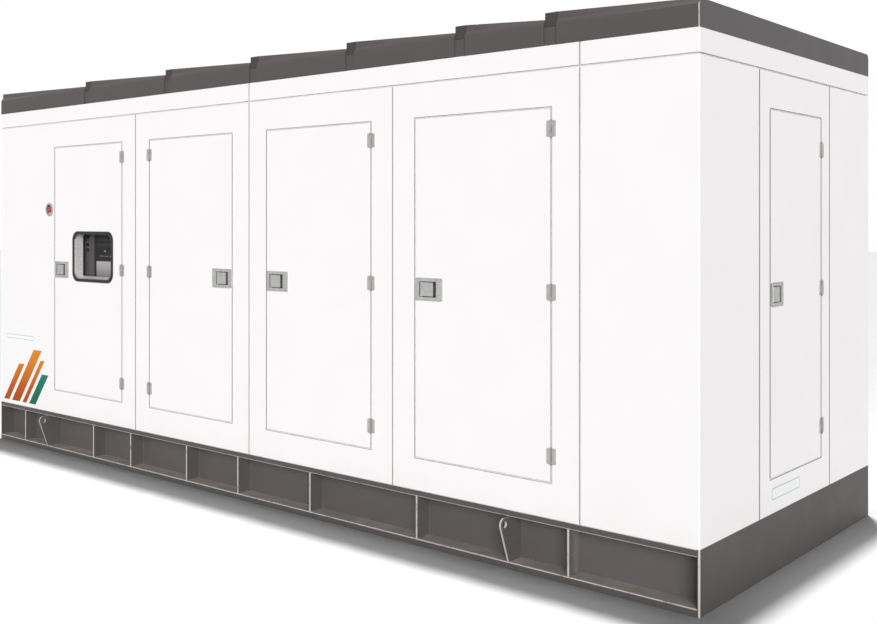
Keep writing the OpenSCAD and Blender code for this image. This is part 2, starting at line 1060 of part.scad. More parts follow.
module emergency_stop_button() {
    crown = stop_collar_t + button_crown;
    seat = crown - button_t;
    color("#c2342f")
        at_stop()
            turned([
                [0, -cup_d],
                [stem_r, -cup_d],
                [stem_r, seat],
                [button_r, seat],
                [button_r, crown - button_edge],
                [button_r - button_edge, crown],
                [0, crown],
            ]);
}

front_rail();
rear_rail();
end_beams();
cross_members();
deck();
lifting_lugs();
front_posts();
front_headers();
front_sills();
rear_posts();
rear_headers();
rear_sills();
end_posts();
end_headers();
end_sills();
side_bands();
end_bands();
side_fascias();
end_fascias();
roof_sections();
roof_joints();
control_door();
service_door_1();
service_door_2();
service_door_3();
end_door();
control_door_hardware();
service_door_1_hardware();
service_door_2_hardware();
service_door_3_hardware();
end_door_hardware();
control_door_paddle();
service_door_1_paddle();
service_door_2_paddle();
service_door_3_paddle();
end_door_paddle();
hinge_leaves();
fixed_doors();
fixed_door_hardware();
window_gasket();
window_pane();
window_lining();
control_cabinet();
instrument_panel();
emergency_stop_collar();
emergency_stop_button();
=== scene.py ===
"""Looks of a silenced generator set: a painted steel canopy on a lifting base.

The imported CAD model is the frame. Each sub-assembly below is a class that builds its
meshes from the CAD nodes, dresses them in procedural finishes and hangs every piece on
its CAD body. Lengths are metres, +Z is up, and -Y is the side with the control door.
"""

import logging
import math
from collections.abc import Callable, Iterable, Sequence
from dataclasses import dataclass, replace
from enum import Enum
from typing import Any

import bmesh
import bpy
from mathutils import Matrix, Vector


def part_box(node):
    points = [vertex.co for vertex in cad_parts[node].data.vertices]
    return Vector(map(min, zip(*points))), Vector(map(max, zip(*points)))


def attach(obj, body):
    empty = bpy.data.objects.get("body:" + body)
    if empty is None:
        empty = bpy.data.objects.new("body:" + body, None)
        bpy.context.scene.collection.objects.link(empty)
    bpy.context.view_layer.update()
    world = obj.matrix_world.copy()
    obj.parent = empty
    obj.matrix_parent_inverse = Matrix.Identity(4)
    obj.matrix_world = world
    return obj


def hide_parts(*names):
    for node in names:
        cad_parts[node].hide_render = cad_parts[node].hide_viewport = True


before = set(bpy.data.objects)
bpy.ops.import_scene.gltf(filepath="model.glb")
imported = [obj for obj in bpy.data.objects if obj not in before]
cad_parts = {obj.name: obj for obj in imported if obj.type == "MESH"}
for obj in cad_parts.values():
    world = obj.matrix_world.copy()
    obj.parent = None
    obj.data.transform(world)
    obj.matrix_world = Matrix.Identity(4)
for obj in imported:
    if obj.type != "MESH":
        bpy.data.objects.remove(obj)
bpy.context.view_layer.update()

MM = 0.001
ROOT = "enclosure"
MERGE = 1e-5  # vertices nearer than this are one
FLAT = math.radians(0.5)  # faces that turn less than this are one
CREASE = math.radians(35)  # edges that turn more than this stay sharp
ALONG = 0.9  # a unit normal with more than this along an axis looks along it
ACROSS = 0.3  # and one with less looks across it
SQUARE = 60.0  # edges that turn more than this, in degrees, are square ones
STEEP = 50.0  # edges that turn more than this are not a curve's facets
ROUGH_OCTAVES = 0.55  # weight of each finer octave of noise
MATH = "ShaderNodeMath"
MIX = "ShaderNodeMix"  # with colours its share is input 0, they are 6 and 7, the mix is 2
SPLIT = "ShaderNodeSeparateXYZ"
RANGE = "ShaderNodeMapRange"
NOISE = "ShaderNodeTexNoise"
BUMP = "ShaderNodeBump"
SMOOTH = {"interpolation_type": "SMOOTHSTEP"}
RGB = {"data_type": "RGBA"}

log = logging.getLogger("generator_set")

BMesh = bmesh.types.BMesh
Tree = bpy.types.NodeTree
Link = bpy.types.Node | bpy.types.NodeSocket  # a node stands for its first output
Thing = bpy.types.Object
Colour = tuple[float, float, float, float]
Pair = tuple[float, float]
Box = tuple[float, float, float, float]  # low x, low z, high x and high z
Grain = tuple[float, float, float, float]  # size, octaves, depth and strength of a relief
Outline = Sequence[Pair]
Spots = list[tuple[Vector, Vector]]
EdgeTest = Callable[[Vector], bool]
FaceTest = Callable[[Vector, Vector], bool]


class Wall(Enum):
    """The four walls, each with its turn about +Z in degrees."""

    FRONT = 0
    RIGHT = 90
    REAR = 180
    LEFT = 270

    @property
    def is_side(self) -> bool:
        """True for the two long walls."""
        return self in (Wall.FRONT, Wall.REAR)

    @property
    def opposite(self) -> "Wall":
        """The wall that looks the other way."""
        return Wall((self.value + 180) % 360)


class Hinge(Enum):
    """Side of a door that carries its hinges, seen from outside."""

    RIGHT = 1
    LEFT = -1


# ---- nodes and patterns


def srgb(code: str, factor: float = 1.0, lift: float = 0.0) -> Colour:
    """Turn an sRGB hex colour into linear RGBA, lightened or darkened if asked.

    Args:
        code: Colour as "#rrggbb".
        factor: What the linear colour is multiplied by.
        lift: What is added to it.

    Returns:
        The linear colour with an alpha of 1.
    """
    parts = [int(code[i : i + 2], 16) / 255 for i in (1, 3, 5)]
    linear = [p / 12.92 if p <= 0.04045 else ((p + 0.055) / 1.055) ** 2.4 for p in parts]
    return (*(min(1.0, value * factor + lift) for value in linear), 1.0)


def add_node(
    tree: Tree, kind: str, inputs: dict[int | str, Any] | Sequence[Any] = (), **settings: Any
) -> bpy.types.Node:
    """Add a node with its settings and its inputs.

    Args:
        tree: Node tree that gets the node.
        kind: Node type's identifier.
        inputs: Values or links, in order or by the input's index or name.
        settings: Attributes of the node.

    Returns:
        The new node.
    """
    node = tree.nodes.new(kind)
    for name, value in settings.items():
        setattr(node, name, value)
    for key, value in inputs.items() if isinstance(inputs, dict) else enumerate(inputs):
        if isinstance(value, bpy.types.Node):
            value = value.outputs[0]
        if isinstance(value, bpy.types.NodeSocket):
            tree.links.new(value, node.inputs[key])
        else:
            node.inputs[key].default_value = value
    return node


def lumps(place: Link, size: float, detail: float) -> dict[str, Any]:
    """Return a noise node's inputs for lumps of a real size, with octaves of detail."""
    return {"Vector": place, "Scale": 1 / size, "Detail": detail, "Roughness": ROUGH_OCTAVES}


def patches(tree: Tree, place: Link, noise: Pair, span: Pair, target: Pair) -> Link:
    """Return soft patches, of lumps of a real size with octaves, between two values."""
    found = add_node(tree, NOISE, lumps(place, *noise))
    return add_node(tree, RANGE, (found, *span, *target), **SMOOTH)


def along_z(tree: Tree, vector: Link, span: Pair, target: Pair) -> Link:
    """Return a value that follows a vector's z: a height, or how far a face looks up."""
    found = add_node(tree, SPLIT, (vector,)).outputs[2]
    return add_node(tree, RANGE, (found, *span, *target), **SMOOTH)


def relief(tree: Tree, place: Link, grain: Grain, under: Link | None = None) -> Link:
    """Return a normal that lumps of a real size move.

    Args:
        tree: Node tree.
        place: Coordinates in metres.
        grain: Size of one lump, octaves of detail, depth, and share of it that is used.
        under: Normal that this one lies on.

    Returns:
        The normal.
    """
    size, detail, depth, strength = grain
    height = add_node(tree, NOISE, lumps(place, size, detail))
    inputs = {"Height": height, "Distance": depth, "Strength": strength}
    if under is not None:
        inputs["Normal"] = under
    return add_node(tree, BUMP, inputs)


def covered(tree: Tree, paint: Link, fall: Link, streaks: Link, cover_colour: str) -> Link:
    """Return a colour under a cover, which lies as thick as its fall and streaks say."""
    share = add_node(tree, MATH, (fall, streaks), operation="MULTIPLY")
    return add_node(tree, MIX, {0: share, 6: paint, 7: srgb(cover_colour)}, **RGB).outputs[2]


# ---- finishes


@dataclass(frozen=True)
class Surface:
    """A named material."""

    name: str

    def material(self) -> bpy.types.Material:
        """Build the material the first time it is asked for.

        Returns:
            The material.
        """
        made = bpy.data.materials.get(self.name)
        if made is None:
            made = bpy.data.materials.new(self.name)
            made.use_nodes = True
            made.node_tree.nodes.clear()
            shader = self.shader(made.node_tree)
            add_node(made.node_tree, "ShaderNodeOutputMaterial", {"Surface": shader})
        return made

    def shader(self, tree: Tree) -> Link:
        """Return the shader that the material shows."""
        raise NotImplementedError


@dataclass(frozen=True)
class Finish(Surface):
    """A Principled surface with patches in its colour and gloss, and a fine relief.

    A child class gives the real sizes of its own patches and grain. Its methods take the
    material's tree and its object coordinates in metres, and return the last node.
    """

    colour: str
    roughness: float = 0.45
    metallic: float = 0.0
    coat: float = 0.0
    specular: float = 0.5
    patch: Pair = (25 * MM, 3.0)  # size and octaves
    patch_span: Pair = (0.3, 0.7)  # noise over which a patch's colour comes in
    patch_most: float = 1.0  # most that it covers
    patch_shade: Pair = (1.0, 0.0)  # factor and lift of its colour
    gloss_span: Pair = (0.3, 0.7)
    gloss: Pair = (-0.06, 0.08)  # what the patches add to the roughness
    grain: Grain | None = (1.5 * MM, 2.0, 0.04 * MM, 0.6)

    def material(self) -> bpy.types.Material:
        """Build the material, with its colour for plain displays too.

        Returns:
            The material.
        """
        made = super().material()
        made.diffuse_color = srgb(self.colour)
        return made

    def shader(self, tree: Tree) -> Link:
        """Wire the patterns into a Principled shader.

        Args:
            tree: The material's node tree.

        Returns:
            The shader.
        """
        place = add_node(tree, "ShaderNodeTexCoord").outputs["Object"]
        constants = {
            "Base Color": srgb(self.colour),
            "Roughness": self.roughness,
            "Metallic": self.metallic,
            "Coat Weight": self.coat,
            "Specular IOR Level": self.specular,
        }
        shader = add_node(tree, "ShaderNodeBsdfPrincipled", constants)
        for name, found in self.wires(tree, place).items():
            source = found.outputs[0] if isinstance(found, bpy.types.Node) else found
            tree.links.new(source, shader.inputs[name])
        return shader

    def wires(self, tree: Tree, place: Link) -> dict[str, Link]:
        """Return the patterns by the shader's input.

        Args:
            tree: The material's node tree.
            place: Object coordinates in metres.

        Returns:
            Links for the colour, the roughness and, where there is a grain, the normal.
        """
        wires = {"Base Color": self.paint(tree, place), "Roughness": self.sheen(tree, place)}
        if self.grain:
            wires["Normal"] = self.feel(tree, place)
        return wires

    def second(self) -> Colour:
        """Return the colour of the patches."""
        return srgb(self.colour, *self.patch_shade)

    def share(self, tree: Tree, place: Link) -> Link:
        """Return how much of the second colour shows."""
        return patches(tree, place, self.patch, self.patch_span, (0.0, self.patch_most))

    def paint(self, tree: Tree, place: Link) -> Link:
        """Return the colour, mixed from the two by their share."""
        both = {0: self.share(tree, place), 6: srgb(self.colour), 7: self.second()}
        return add_node(tree, MIX, both, **RGB).outputs[2]

    def sheen(self, tree: Tree, place: Link) -> Link:
        """Return the patchy roughness."""
        target = (self.roughness + self.gloss[0], self.roughness + self.gloss[1])
        return patches(tree, place, self.patch, self.gloss_span, target)

    def feel(self, tree: Tree, place: Link) -> Link:
        """Return the normal with the grain in it."""
        return relief(tree, place, self.grain)


@dataclass(frozen=True)
class PowderCoat(Finish):
    """Polyester powder coat on steel sheet, sprayed dry and baked.

    It gives an even, slightly soft gloss with a fine orange peel, drawn three times as
    coarse as real so that it shows. Sheet steel is never quite flat, so broad shallow
    swells move the reflections a little. Road dust streaks the foot of the walls.
    """

    patch: Pair = (350 * MM, 3.0)
    patch_shade: Pair = (0.985, 0.0)
    gloss: Pair = (-0.04, 0.05)
    grain: Grain = (6 * MM, 1.0, 0.04 * MM, 0.5)
    swell: Grain = (900 * MM, 1.0, 1.2 * MM, 0.5)
    cover_colour: str = "#efedea"
    dust_foot: float = 0.3  # heights over which the dust fades out
    dust_top: float = 0.5
    cover_share: float = 0.25
    streak: Pair = (60 * MM, 3.0)
    streak_span: Pair = (0.35, 0.75)
    streak_stretch: float = 0.12
    streak_least: float = 0.2  # share of the dust that lies between the streaks

    def paint(self, tree: Tree, place: Link) -> Link:
        """Return the paint with streaks of dust along its foot.

        Args:
            tree: The material's node tree.
            place: Object coordinates in metres.

        Returns:
            The colour.
        """
        fall = along_z(tree, place, (self.dust_foot, self.dust_top), (self.cover_share, 0.0))
        run = {0: place, "Scale": (1.0, 1.0, self.streak_stretch)}
        drawn = add_node(tree, "ShaderNodeMapping", run)
        streaks = patches(tree, drawn, self.streak, self.streak_span, (self.streak_least, 1.0))
        return covered(tree, super().paint(tree, place), fall, streaks, self.cover_colour)

    def feel(self, tree: Tree, place: Link) -> Link:
        """Return the orange peel over the swells of the sheet."""
        return relief(tree, place, self.grain, relief(tree, place, self.swell))


@dataclass(frozen=True)
class Enamel(Finish):
    """Two-pack enamel brushed and sprayed on hot-rolled plate.

    Mill scale under it leaves a fine uneven grain, drawn twice as coarse as real so that
    it shows. The gloss varies where coats overlap. Faces that look up are paler: partly
    dust and partly painted light that lifts the up-facing faces lying in shade.
    """

    patch: Pair = (240 * MM, 4.0)
    patch_span: Pair = (0.3, 0.75)
    patch_shade: Pair = (1.08, 0.0)
    gloss_span: Pair = (0.25, 0.75)
    gloss: Pair = (-0.07, 0.08)
    grain: Grain = (5 * MM, 4.0, 0.12 * MM, 0.6)
    cover_colour: str = "#8f8a85"
    cover_share: float = 0.55
    facing_up_span: Pair = (0.5, 1.0)  # how far up a face looks where the cover comes in
    speck: Pair = (160 * MM, 5.0)
    speck_span: Pair = (0.3, 0.7)
    speck_least: float = 0.7

    def paint(self, tree: Tree, place: Link) -> Link:
        """Return the enamel paler on the faces that look up: dust and painted light.

        Args:
            tree: The material's node tree.
            place: Object coordinates in metres.

        Returns:
            The colour.
        """
        normal = add_node(tree, "ShaderNodeNewGeometry").outputs["Normal"]
        # Paler on faces that look up: partly dust, partly painted light on faces in shade.
        dust_and_lift = along_z(tree, normal, self.facing_up_span, (0.0, self.cover_share))
        specks = patches(tree, place, self.speck, self.speck_span, (self.speck_least, 1.0))
        return covered(tree, super().paint(tree, place), dust_and_lift, specks, self.cover_colour)


@dataclass(frozen=True)
class EdgeHighlight(Finish):
    """Painted highlight along a flame-cut plate edge: a light line for the light it catches.

    The line has the ripple of the cut, and is broken here and there by patches of darker
    enamel.
    """

    patch: Pair = (45 * MM, 4.0)
    patch_span: Pair = (0.55, 0.72)
    patch_most: float = 0.75
    gloss: Pair = (0.0, 0.12)
    grain: Grain = (4 * MM, 2.0, 0.15 * MM, 0.6)
    highlight_break: str = "#7c7774"

    def second(self) -> Colour:
        """Return the colour of the patches that break the highlight."""
        return srgb(self.highlight_break)


@dataclass(frozen=True)
class SatinZinc(Finish):
    """Die-cast zinc, shot-blasted and zinc-plated, as on hinges and latches.

    It is a dull pale metal with a soft broad highlight, faint hand marks and fine pits,
    which are drawn twice as coarse as real so that they show.
    """

    patch: Pair = (35 * MM, 3.0)
    patch_span: Pair = (0.35, 0.7)
    patch_shade: Pair = (0.86, 0.0)


@dataclass(frozen=True)
class Galvanised(Finish):
    """Hot-dip galvanised sheet: pale zinc crystals that each catch the light apart."""

    spangle: float = 9 * MM
    patch_shade: Pair = (0.82, 0.0)
    gloss: Pair = (-0.08, 0.1)
    grain: Grain = (70 * MM, 2.0, 0.4 * MM, 0.5)

    def share(self, tree: Tree, place: Link) -> Link:
        """Return a value that differs from crystal to crystal.

        Args:
            tree: The material's node tree.
            place: Object coordinates in metres.

        Returns:
            A value between 0 and 1.
        """
        cells = {"Vector": place, "Scale": 1 / self.spangle}
        crystal = add_node(tree, "ShaderNodeTexVoronoi", cells).outputs["Color"]
        return add_node(tree, SPLIT, (crystal,))

    def sheen(self, tree: Tree, place: Link) -> Link:
        """Return the crystals' roughness."""
        read = (self.share(tree, place), 0.0, 1.0, *(self.roughness + g for g in self.gloss))
        return add_node(tree, RANGE, read, **SMOOTH)


@dataclass(frozen=True)
class PerforatedSheet(Finish):
    """Galvanised sheet punched with rows of round holes over dark acoustic wool.

    The holes' pitch is drawn four times as coarse as real so that they show.
    """

    pitch: float = 24 * MM
    wool: str = "#2b2a29"
    wool_roughness: float = 0.95
    patch: Pair = (120 * MM, 3.0)
    patch_shade: Pair = (0.85, 0.0)
    hole_span: Pair = (0.95, 1.1)  # where a hole's edge lies in the sum of the waves
    hole_depth: float = 0.8 * MM
    hole_strength: float = 0.8

    def share(self, tree: Tree, place: Link) -> Link:
        """Return how far a place is worn dull."""
        return add_node(tree, NOISE, lumps(place, *self.patch))

    def holes(self, tree: Tree, place: Link) -> Link:
        """Return a square grid of dots on the faces, whichever way they look.

        Args:
            tree: The material's node tree.
            place: Object coordinates in metres.

        Returns:
            A value of 1 in a hole and 0 on the sheet.
        """
        where = add_node(tree, SPLIT, (place,)).outputs
        normal = add_node(tree, "ShaderNodeNewGeometry").outputs["Normal"]
        facing = add_node(tree, SPLIT, (normal,)).outputs
        waves = []
        for along in where:
            scaled = (along, 2 * math.pi / self.pitch)
            turn = add_node(tree, MATH, scaled, operation="MULTIPLY")
            waves.append(add_node(tree, MATH, (turn,), operation="COSINE"))
        for axis in range(2):
            looks = add_node(tree, MATH, (facing[1 - axis],), operation="ABSOLUTE")
            both = (waves[axis], looks)
            waves[axis] = add_node(tree, MATH, both, operation="MULTIPLY")
        level = add_node(tree, MATH, waves[:2], operation="ADD")
        total = add_node(tree, MATH, (level, waves[2]), operation="ADD")
        read = (total, *self.hole_span, 0.0, 1.0)
        return add_node(tree, RANGE, read, **SMOOTH)

    def wires(self, tree: Tree, place: Link) -> dict[str, Link]:
        """Return the patterns by the shader's input.

        Args:
            tree: The material's node tree.
            place: Object coordinates in metres.

        Returns:
            Links for the colour, metal, roughness and normal of sheet and wool.
        """
        hole = self.holes(tree, place)
        punched = {0: hole, 6: self.paint(tree, place), 7: srgb(self.wool)}
        solid = add_node(tree, MATH, (1.0, hole), operation="SUBTRACT")
        metal = (solid, self.metallic)
        gloss = (hole, 0.0, 1.0, self.roughness, self.wool_roughness)
        drop = {"Height": solid, "Distance": self.hole_depth, "Strength": self.hole_strength}
        return {
            "Base Color": add_node(tree, MIX, punched, **RGB).outputs[2],
            "Metallic": add_node(tree, MATH, metal, operation="MULTIPLY"),
            "Roughness": add_node(tree, RANGE, gloss, **SMOOTH),
            "Normal": add_node(tree, BUMP, drop),
        }


@dataclass(frozen=True)
class Rubber(Finish):
    """Extruded EPDM rubber: matt, a little chalky with bloom, with a fine leathery grain."""

    patch_span: Pair = (0.4, 0.8)
    patch_most: float = 0.6
    patch_shade: Pair = (1.5, 0.004)
    gloss: Pair = (-0.08, 0.08)
    grain: Grain = (1.5 * MM, 2.0, 0.05 * MM, 0.6)


@dataclass(frozen=True)
class MouldedPlastic(Finish):
    """Injection-moulded ABS or polyamide from a spark-eroded tool.

    The tool leaves a fine grain, drawn twice as coarse as real so that it shows, and
    fingers leave faint marks.
    """

    patch: Pair = (18 * MM, 3.0)
    patch_span: Pair = (0.4, 0.75)
    patch_shade: Pair = (1.12, 0.002)
    gloss: Pair = (-0.06, 0.06)
    grain: Grain = (1.2 * MM, 2.0, 0.04 * MM, 0.5)


@dataclass(frozen=True)
class Vinyl(Finish):
    """Printed vinyl film: flat colour that shades along the print, under clear laminate.

    Film stuck by hand ripples slightly.
    """

    far_colour: str = "#ffffff"
    low: float = 0.0  # heights where the print starts and ends
    high: float = 1.0
    patch: Pair = (60 * MM, 2.0)
    gloss: Pair = (-0.05, 0.07)
    grain: Grain = (60 * MM, 2.0, 0.1 * MM, 0.5)

    def second(self) -> Colour:
        """Return the colour that the print shades to."""
        return srgb(self.far_colour)

    def share(self, tree: Tree, place: Link) -> Link:
        """Return how far up the print a place is."""
        return along_z(tree, place, (self.low, self.high), (0.0, 1.0))


@dataclass(frozen=True)
class DisplayGlass(Finish):
    """Liquid-crystal display behind an acrylic cover: grey-green with faint rows.

    One row of dots is drawn coarser than real so that it shows. It is paler at the top and
    darker at the foot: painted light.
    """

    far_colour: str = "#7d7f7d"  # colour at the foot
    low: float = 0.0  # heights of the display's foot and top
    high: float = 1.0
    row: float = 4 * MM
    row_colour: str = "#5c6a66"
    row_most: float = 0.12
    patch: Pair = (40 * MM, 2.0)
    gloss: Pair = (0.0, 0.06)
    grain: Grain | None = None

    def second(self) -> Colour:
        """Return the colour at the foot."""
        return srgb(self.far_colour)

    def share(self, tree: Tree, place: Link) -> Link:
        """Return how far down the display a place is."""
        return along_z(tree, place, (self.low, self.high), (1.0, 0.0))

    def paint(self, tree: Tree, place: Link) -> Link:
        """Return the painted light from top to foot, with the rows of dots.

        Args:
            tree: The material's node tree.
            place: Object coordinates in metres.

        Returns:
            The colour.
        """
        scaled = (add_node(tree, SPLIT, (place,)).outputs[2], 2 * math.pi / self.row)
        turn = add_node(tree, MATH, scaled, operation="MULTIPLY")
        wave = add_node(tree, MATH, (turn,), operation="SINE")
        line = add_node(tree, RANGE, (wave, -1.0, 1.0, 0.0, self.row_most), **SMOOTH)
        rows = {0: line, 6: super().paint(tree, place), 7: srgb(self.row_colour)}
        return add_node(tree, MIX, rows, **RGB).outputs[2]


@dataclass(frozen=True)
class SafetyGlass(Surface):
    """Toughened glass with an anti-glare film: clear, with only a faint reflection."""

    tint: str = "#fbfafa"
    film_index: float = 1.05  # stands for glass and film together
    roughness: float = 0.04
    roll: Grain = (160 * MM, 1.0, 0.3 * MM, 0.3)  # waves that tempering rollers leave

    def shader(self, tree: Tree) -> Link:
        """Mix the clear pane with its reflection on the outer side only.

        Args:
            tree: The material's node tree.

        Returns:
            The mixed shader.
        """
        place = add_node(tree, "ShaderNodeTexCoord").outputs["Object"]
        gloss = {"Roughness": self.roughness, "Normal": relief(tree, place, self.roll)}
        shine = add_node(tree, "ShaderNodeBsdfGlossy", gloss)
        clear = add_node(tree, "ShaderNodeBsdfTransparent", (srgb(self.tint),))
        back = add_node(tree, "ShaderNodeNewGeometry").outputs["Backfacing"]
        front = add_node(tree, MATH, (1.0, back), operation="SUBTRACT")
        fresnel = add_node(tree, "ShaderNodeFresnel", (self.film_index,))
        share = add_node(tree, MATH, (fresnel, front), operation="MULTIPLY")
        return add_node(tree, "ShaderNodeMixShader", (share, clear, shine))


@dataclass(frozen=True)
class StudioFloor(Surface):
    """Matt paper: one colour as it is seen, a darker one as it lights the walls."""

    seen: str = "#fbfbfb"
    bounce: str = "#9a9a9a"
    roughness: float = 0.5

    def shader(self, tree: Tree) -> Link:
        """Give a matt shader its two colours.

        Args:
            tree: The material's node tree.

        Returns:
            The shader.
        """
        path = add_node(tree, "ShaderNodeLightPath").outputs["Is Diffuse Ray"]
        both = {0: path, 6: srgb(self.seen), 7: srgb(self.bounce)}
        matt = (add_node(tree, MIX, both, **RGB).outputs[2], self.roughness)
        return add_node(tree, "ShaderNodeBsdfDiffuse", matt)


class Finishes:
    """The finishes of the whole set, each named for what it is."""

    SIDE_WHITE = PowderCoat("powder_coat_white", "#f6f4f4", 0.42)
    # Dark grey on the rims of door gaps and leaf edges: painted shade.
    GAP_SHADE = Rubber("painted_gap_shade", "#3b3a3a", 0.8, specular=0.2)
    # Dark grey on the rims of the upright joints: painted shade.
    JOINT_SHADE = Rubber("painted_joint_shade", "#5a5959", 0.8, specular=0.2)
    # Pale grey on the joint under the band: painted light.
    BAND_JOINT_LIGHT = Rubber("painted_band_joint_light", "#b4b3b3", 0.8, specular=0.2)
    HARDWARE = SatinZinc("satin_zinc", "#b6b6b5", 0.5, 1.0)
    HINGE = SatinZinc("satin_zinc_hinge", "#b4b4b3", 0.5, 1.0)
    BASE = Enamel("charcoal_enamel", "#504d4c", 0.6, specular=0.3)
    # Lighter than the base enamel, with a heavy pale cover: painted light in the rails' recess.
    WEB = Enamel("charcoal_enamel_web", "#575352", 0.6, specular=0.3, cover_colour="#a8a29d",
                 cover_share=0.95)
    ROOF = Enamel("charcoal_enamel_roof", "#524e4d", 0.65, specular=0.25, cover_share=0.16)
    # A lighter copy of the roof enamel for the cap's end faces: painted light.
    ROOF_END = Enamel("charcoal_enamel_roof_end", "#5c595a", 0.65, specular=0.25)
    # A darker copy of the roof enamel for the set-back joint strips: painted shade.
    ROOF_JOINT = Enamel("charcoal_enamel_joints", "#413e3d", 0.65, specular=0.25, cover_share=0.12)
    # Light lines on plate edges and corners: painted highlights.
    EDGE = EdgeHighlight("painted_edge_highlight", "#c4bfbc", 0.55)
    WELD = Enamel("charcoal_enamel_weld", "#55514e", 0.4)
    DECK = Enamel("deck_plate_enamel", "#3f3d3b", 0.6)
    LINER = PerforatedSheet("perforated_liner", "#b4b6b6", 0.42, 0.85)
    # A darker copy of the zinc for the hinge knuckles: painted shade.
    KNUCKLE_SHADE = SatinZinc("zinc_knuckle_painted_shade", "#8a8684", 0.5, 1.0)
    # Dark grey inside the latch trays: painted shade in the recess.
    TRAY_SHADE = MouldedPlastic("latch_tray_painted_shade", "#6e6e6d", 0.6)
    SCREW = SatinZinc("stainless_screw", "#a9a9a8", 0.35, 1.0,
                      grain=(2.5 * MM, 2.0, 0.04 * MM, 0.6))
    # A pale grey seal in the door gaps, lifting their shade: painted light.
    EDGE_SEAL_LIGHT = Rubber("edge_seal_painted_light", "#dad9d8", 0.7)
    BULB_SEAL = Rubber("black_bulb_seal", "#1f1f1f", 0.75)
    GASKET = Rubber("window_gasket_rubber", "#0e0e0e", 0.7)
    LINING = Galvanised("window_lining_sheet", "#e8e8e8", 0.5, 0.25)
    CABINET = PowderCoat("powder_coat_light_grey", "#8f9294", 0.5, dust_top=0.31)
    PLATE = PowderCoat("powder_coat_dark_grey", "#4c4c4d", 0.55, dust_top=0.31)
    FASCIA = MouldedPlastic("controller_fascia", "#121214", 0.5, specular=0.25)
    KNOB = MouldedPlastic("black_switch", "#121212", 0.4)
    MARK = MouldedPlastic("pale_switch_mark", "#c9cccb", 0.5)
    GREEN_LENS = MouldedPlastic("green_lens", "#2f8f5b", 0.25)
    AMBER_LENS = MouldedPlastic("amber_lens", "#c98a2a", 0.25)
    STOP_PLATE = MouldedPlastic("stop_collar_grey", "#aca3a6", 0.5)
    # A darker copy of the collar's grey for the cup: painted shade.
    STOP_CUP = MouldedPlastic("stop_cup_grey", "#857b7f", 0.6)
    STOP_YELLOW = MouldedPlastic("stop_legend_yellow", "#d8c795", 0.5)
    STOP_RED = MouldedPlastic("stop_button_red", "#a3262b", 0.45, 0.0, 0.2)
    ORANGE = Vinyl("orange_film", "#a8480f", 0.6, specular=0.15, far_colour="#e08a2c",
                   low=0.32, high=0.85)
    GREEN = Vinyl("green_film", "#14604f", 0.6, specular=0.15, far_colour="#1f7f6b",
                  low=0.32, high=0.7)
    LABEL = Vinyl("label_film", "#f3f5f4", 0.45, far_colour="#f7f8f8", low=0.3)
    LABEL_LINE = Vinyl("label_print_teal", "#62ab9c", 0.45, far_colour="#6fb3a5", low=0.3)
    GLASS = SafetyGlass("toughened_glass")
    FLOOR = StudioFloor("studio_floor")


# ---- mesh tools


def in_scene(name: str, data: bpy.types.ID) -> Thing:
    """Add an object to the scene.

    Args:
        name: Object's name.
        data: The mesh, lamp or camera that it holds.

    Returns:
        The object, at the origin.
    """
    made = bpy.data.objects.new(name, data)
    bpy.context.scene.collection.objects.link(made)
    return made


def new_object(name: str, mesh: BMesh) -> Thing:
    """Make an object from a bmesh, which is freed.

    Args:
        name: Object's name.
        mesh: Its shape.

    Returns:
        The object, at the origin.
    """
    data = bpy.data.meshes.new(name)
    mesh.to_mesh(data)
    mesh.free()
    return in_scene(name, data)


def evaluated_mesh(thing: Thing) -> bpy.types.Mesh:
    """Apply an object's modifiers to a copy of its mesh.

    Args:
        thing: The object.

    Returns:
        The new mesh.
    """
    graph = bpy.context.evaluated_depsgraph_get()
    return bpy.data.meshes.new_from_object(
        thing.evaluated_get(graph), preserve_all_data_layers=True, depsgraph=graph
    )


def cleaned(mesh: BMesh) -> BMesh:
    """Merge a bmesh's doubles and join its flat faces.

    Args:
        mesh: Mesh to work on.

    Returns:
        The same mesh.
    """
    bmesh.ops.remove_doubles(mesh, verts=mesh.verts, dist=MERGE)
    bmesh.ops.dissolve_limit(mesh, angle_limit=FLAT, verts=mesh.verts[:], edges=mesh.edges[:])
    return mesh


def node_mesh(name: str) -> BMesh:
    """Copy a CAD node.

    Args:
        name: The node.

    Returns:
        A cleaned bmesh of it.
    """
    mesh = bmesh.new()
    mesh.from_mesh(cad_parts[name].data)
    return cleaned(mesh)


def united(names: Sequence[str]) -> BMesh:
    """Return CAD nodes that touch, joined into one solid.

    Args:
        names: CAD nodes to join.

    Returns:
        A new bmesh in the row frame.
    """
    solids = [new_object(f"solid_{name}", node_mesh(name)) for name in names]
    others = bpy.data.collections.new("union_parts")
    for solid in solids[1:]:
        others.objects.link(solid)
    join = solids[0].modifiers.new("union", "BOOLEAN")
    join.operation = "UNION"
    join.operand_type = "COLLECTION"
    join.collection = others
    join.solver = "EXACT"
    mesh = bmesh.new()
    mesh.from_mesh(evaluated_mesh(solids[0]))
    for solid in solids:
        bpy.data.objects.remove(solid)
    bpy.data.collections.remove(others)
    return cleaned(mesh)


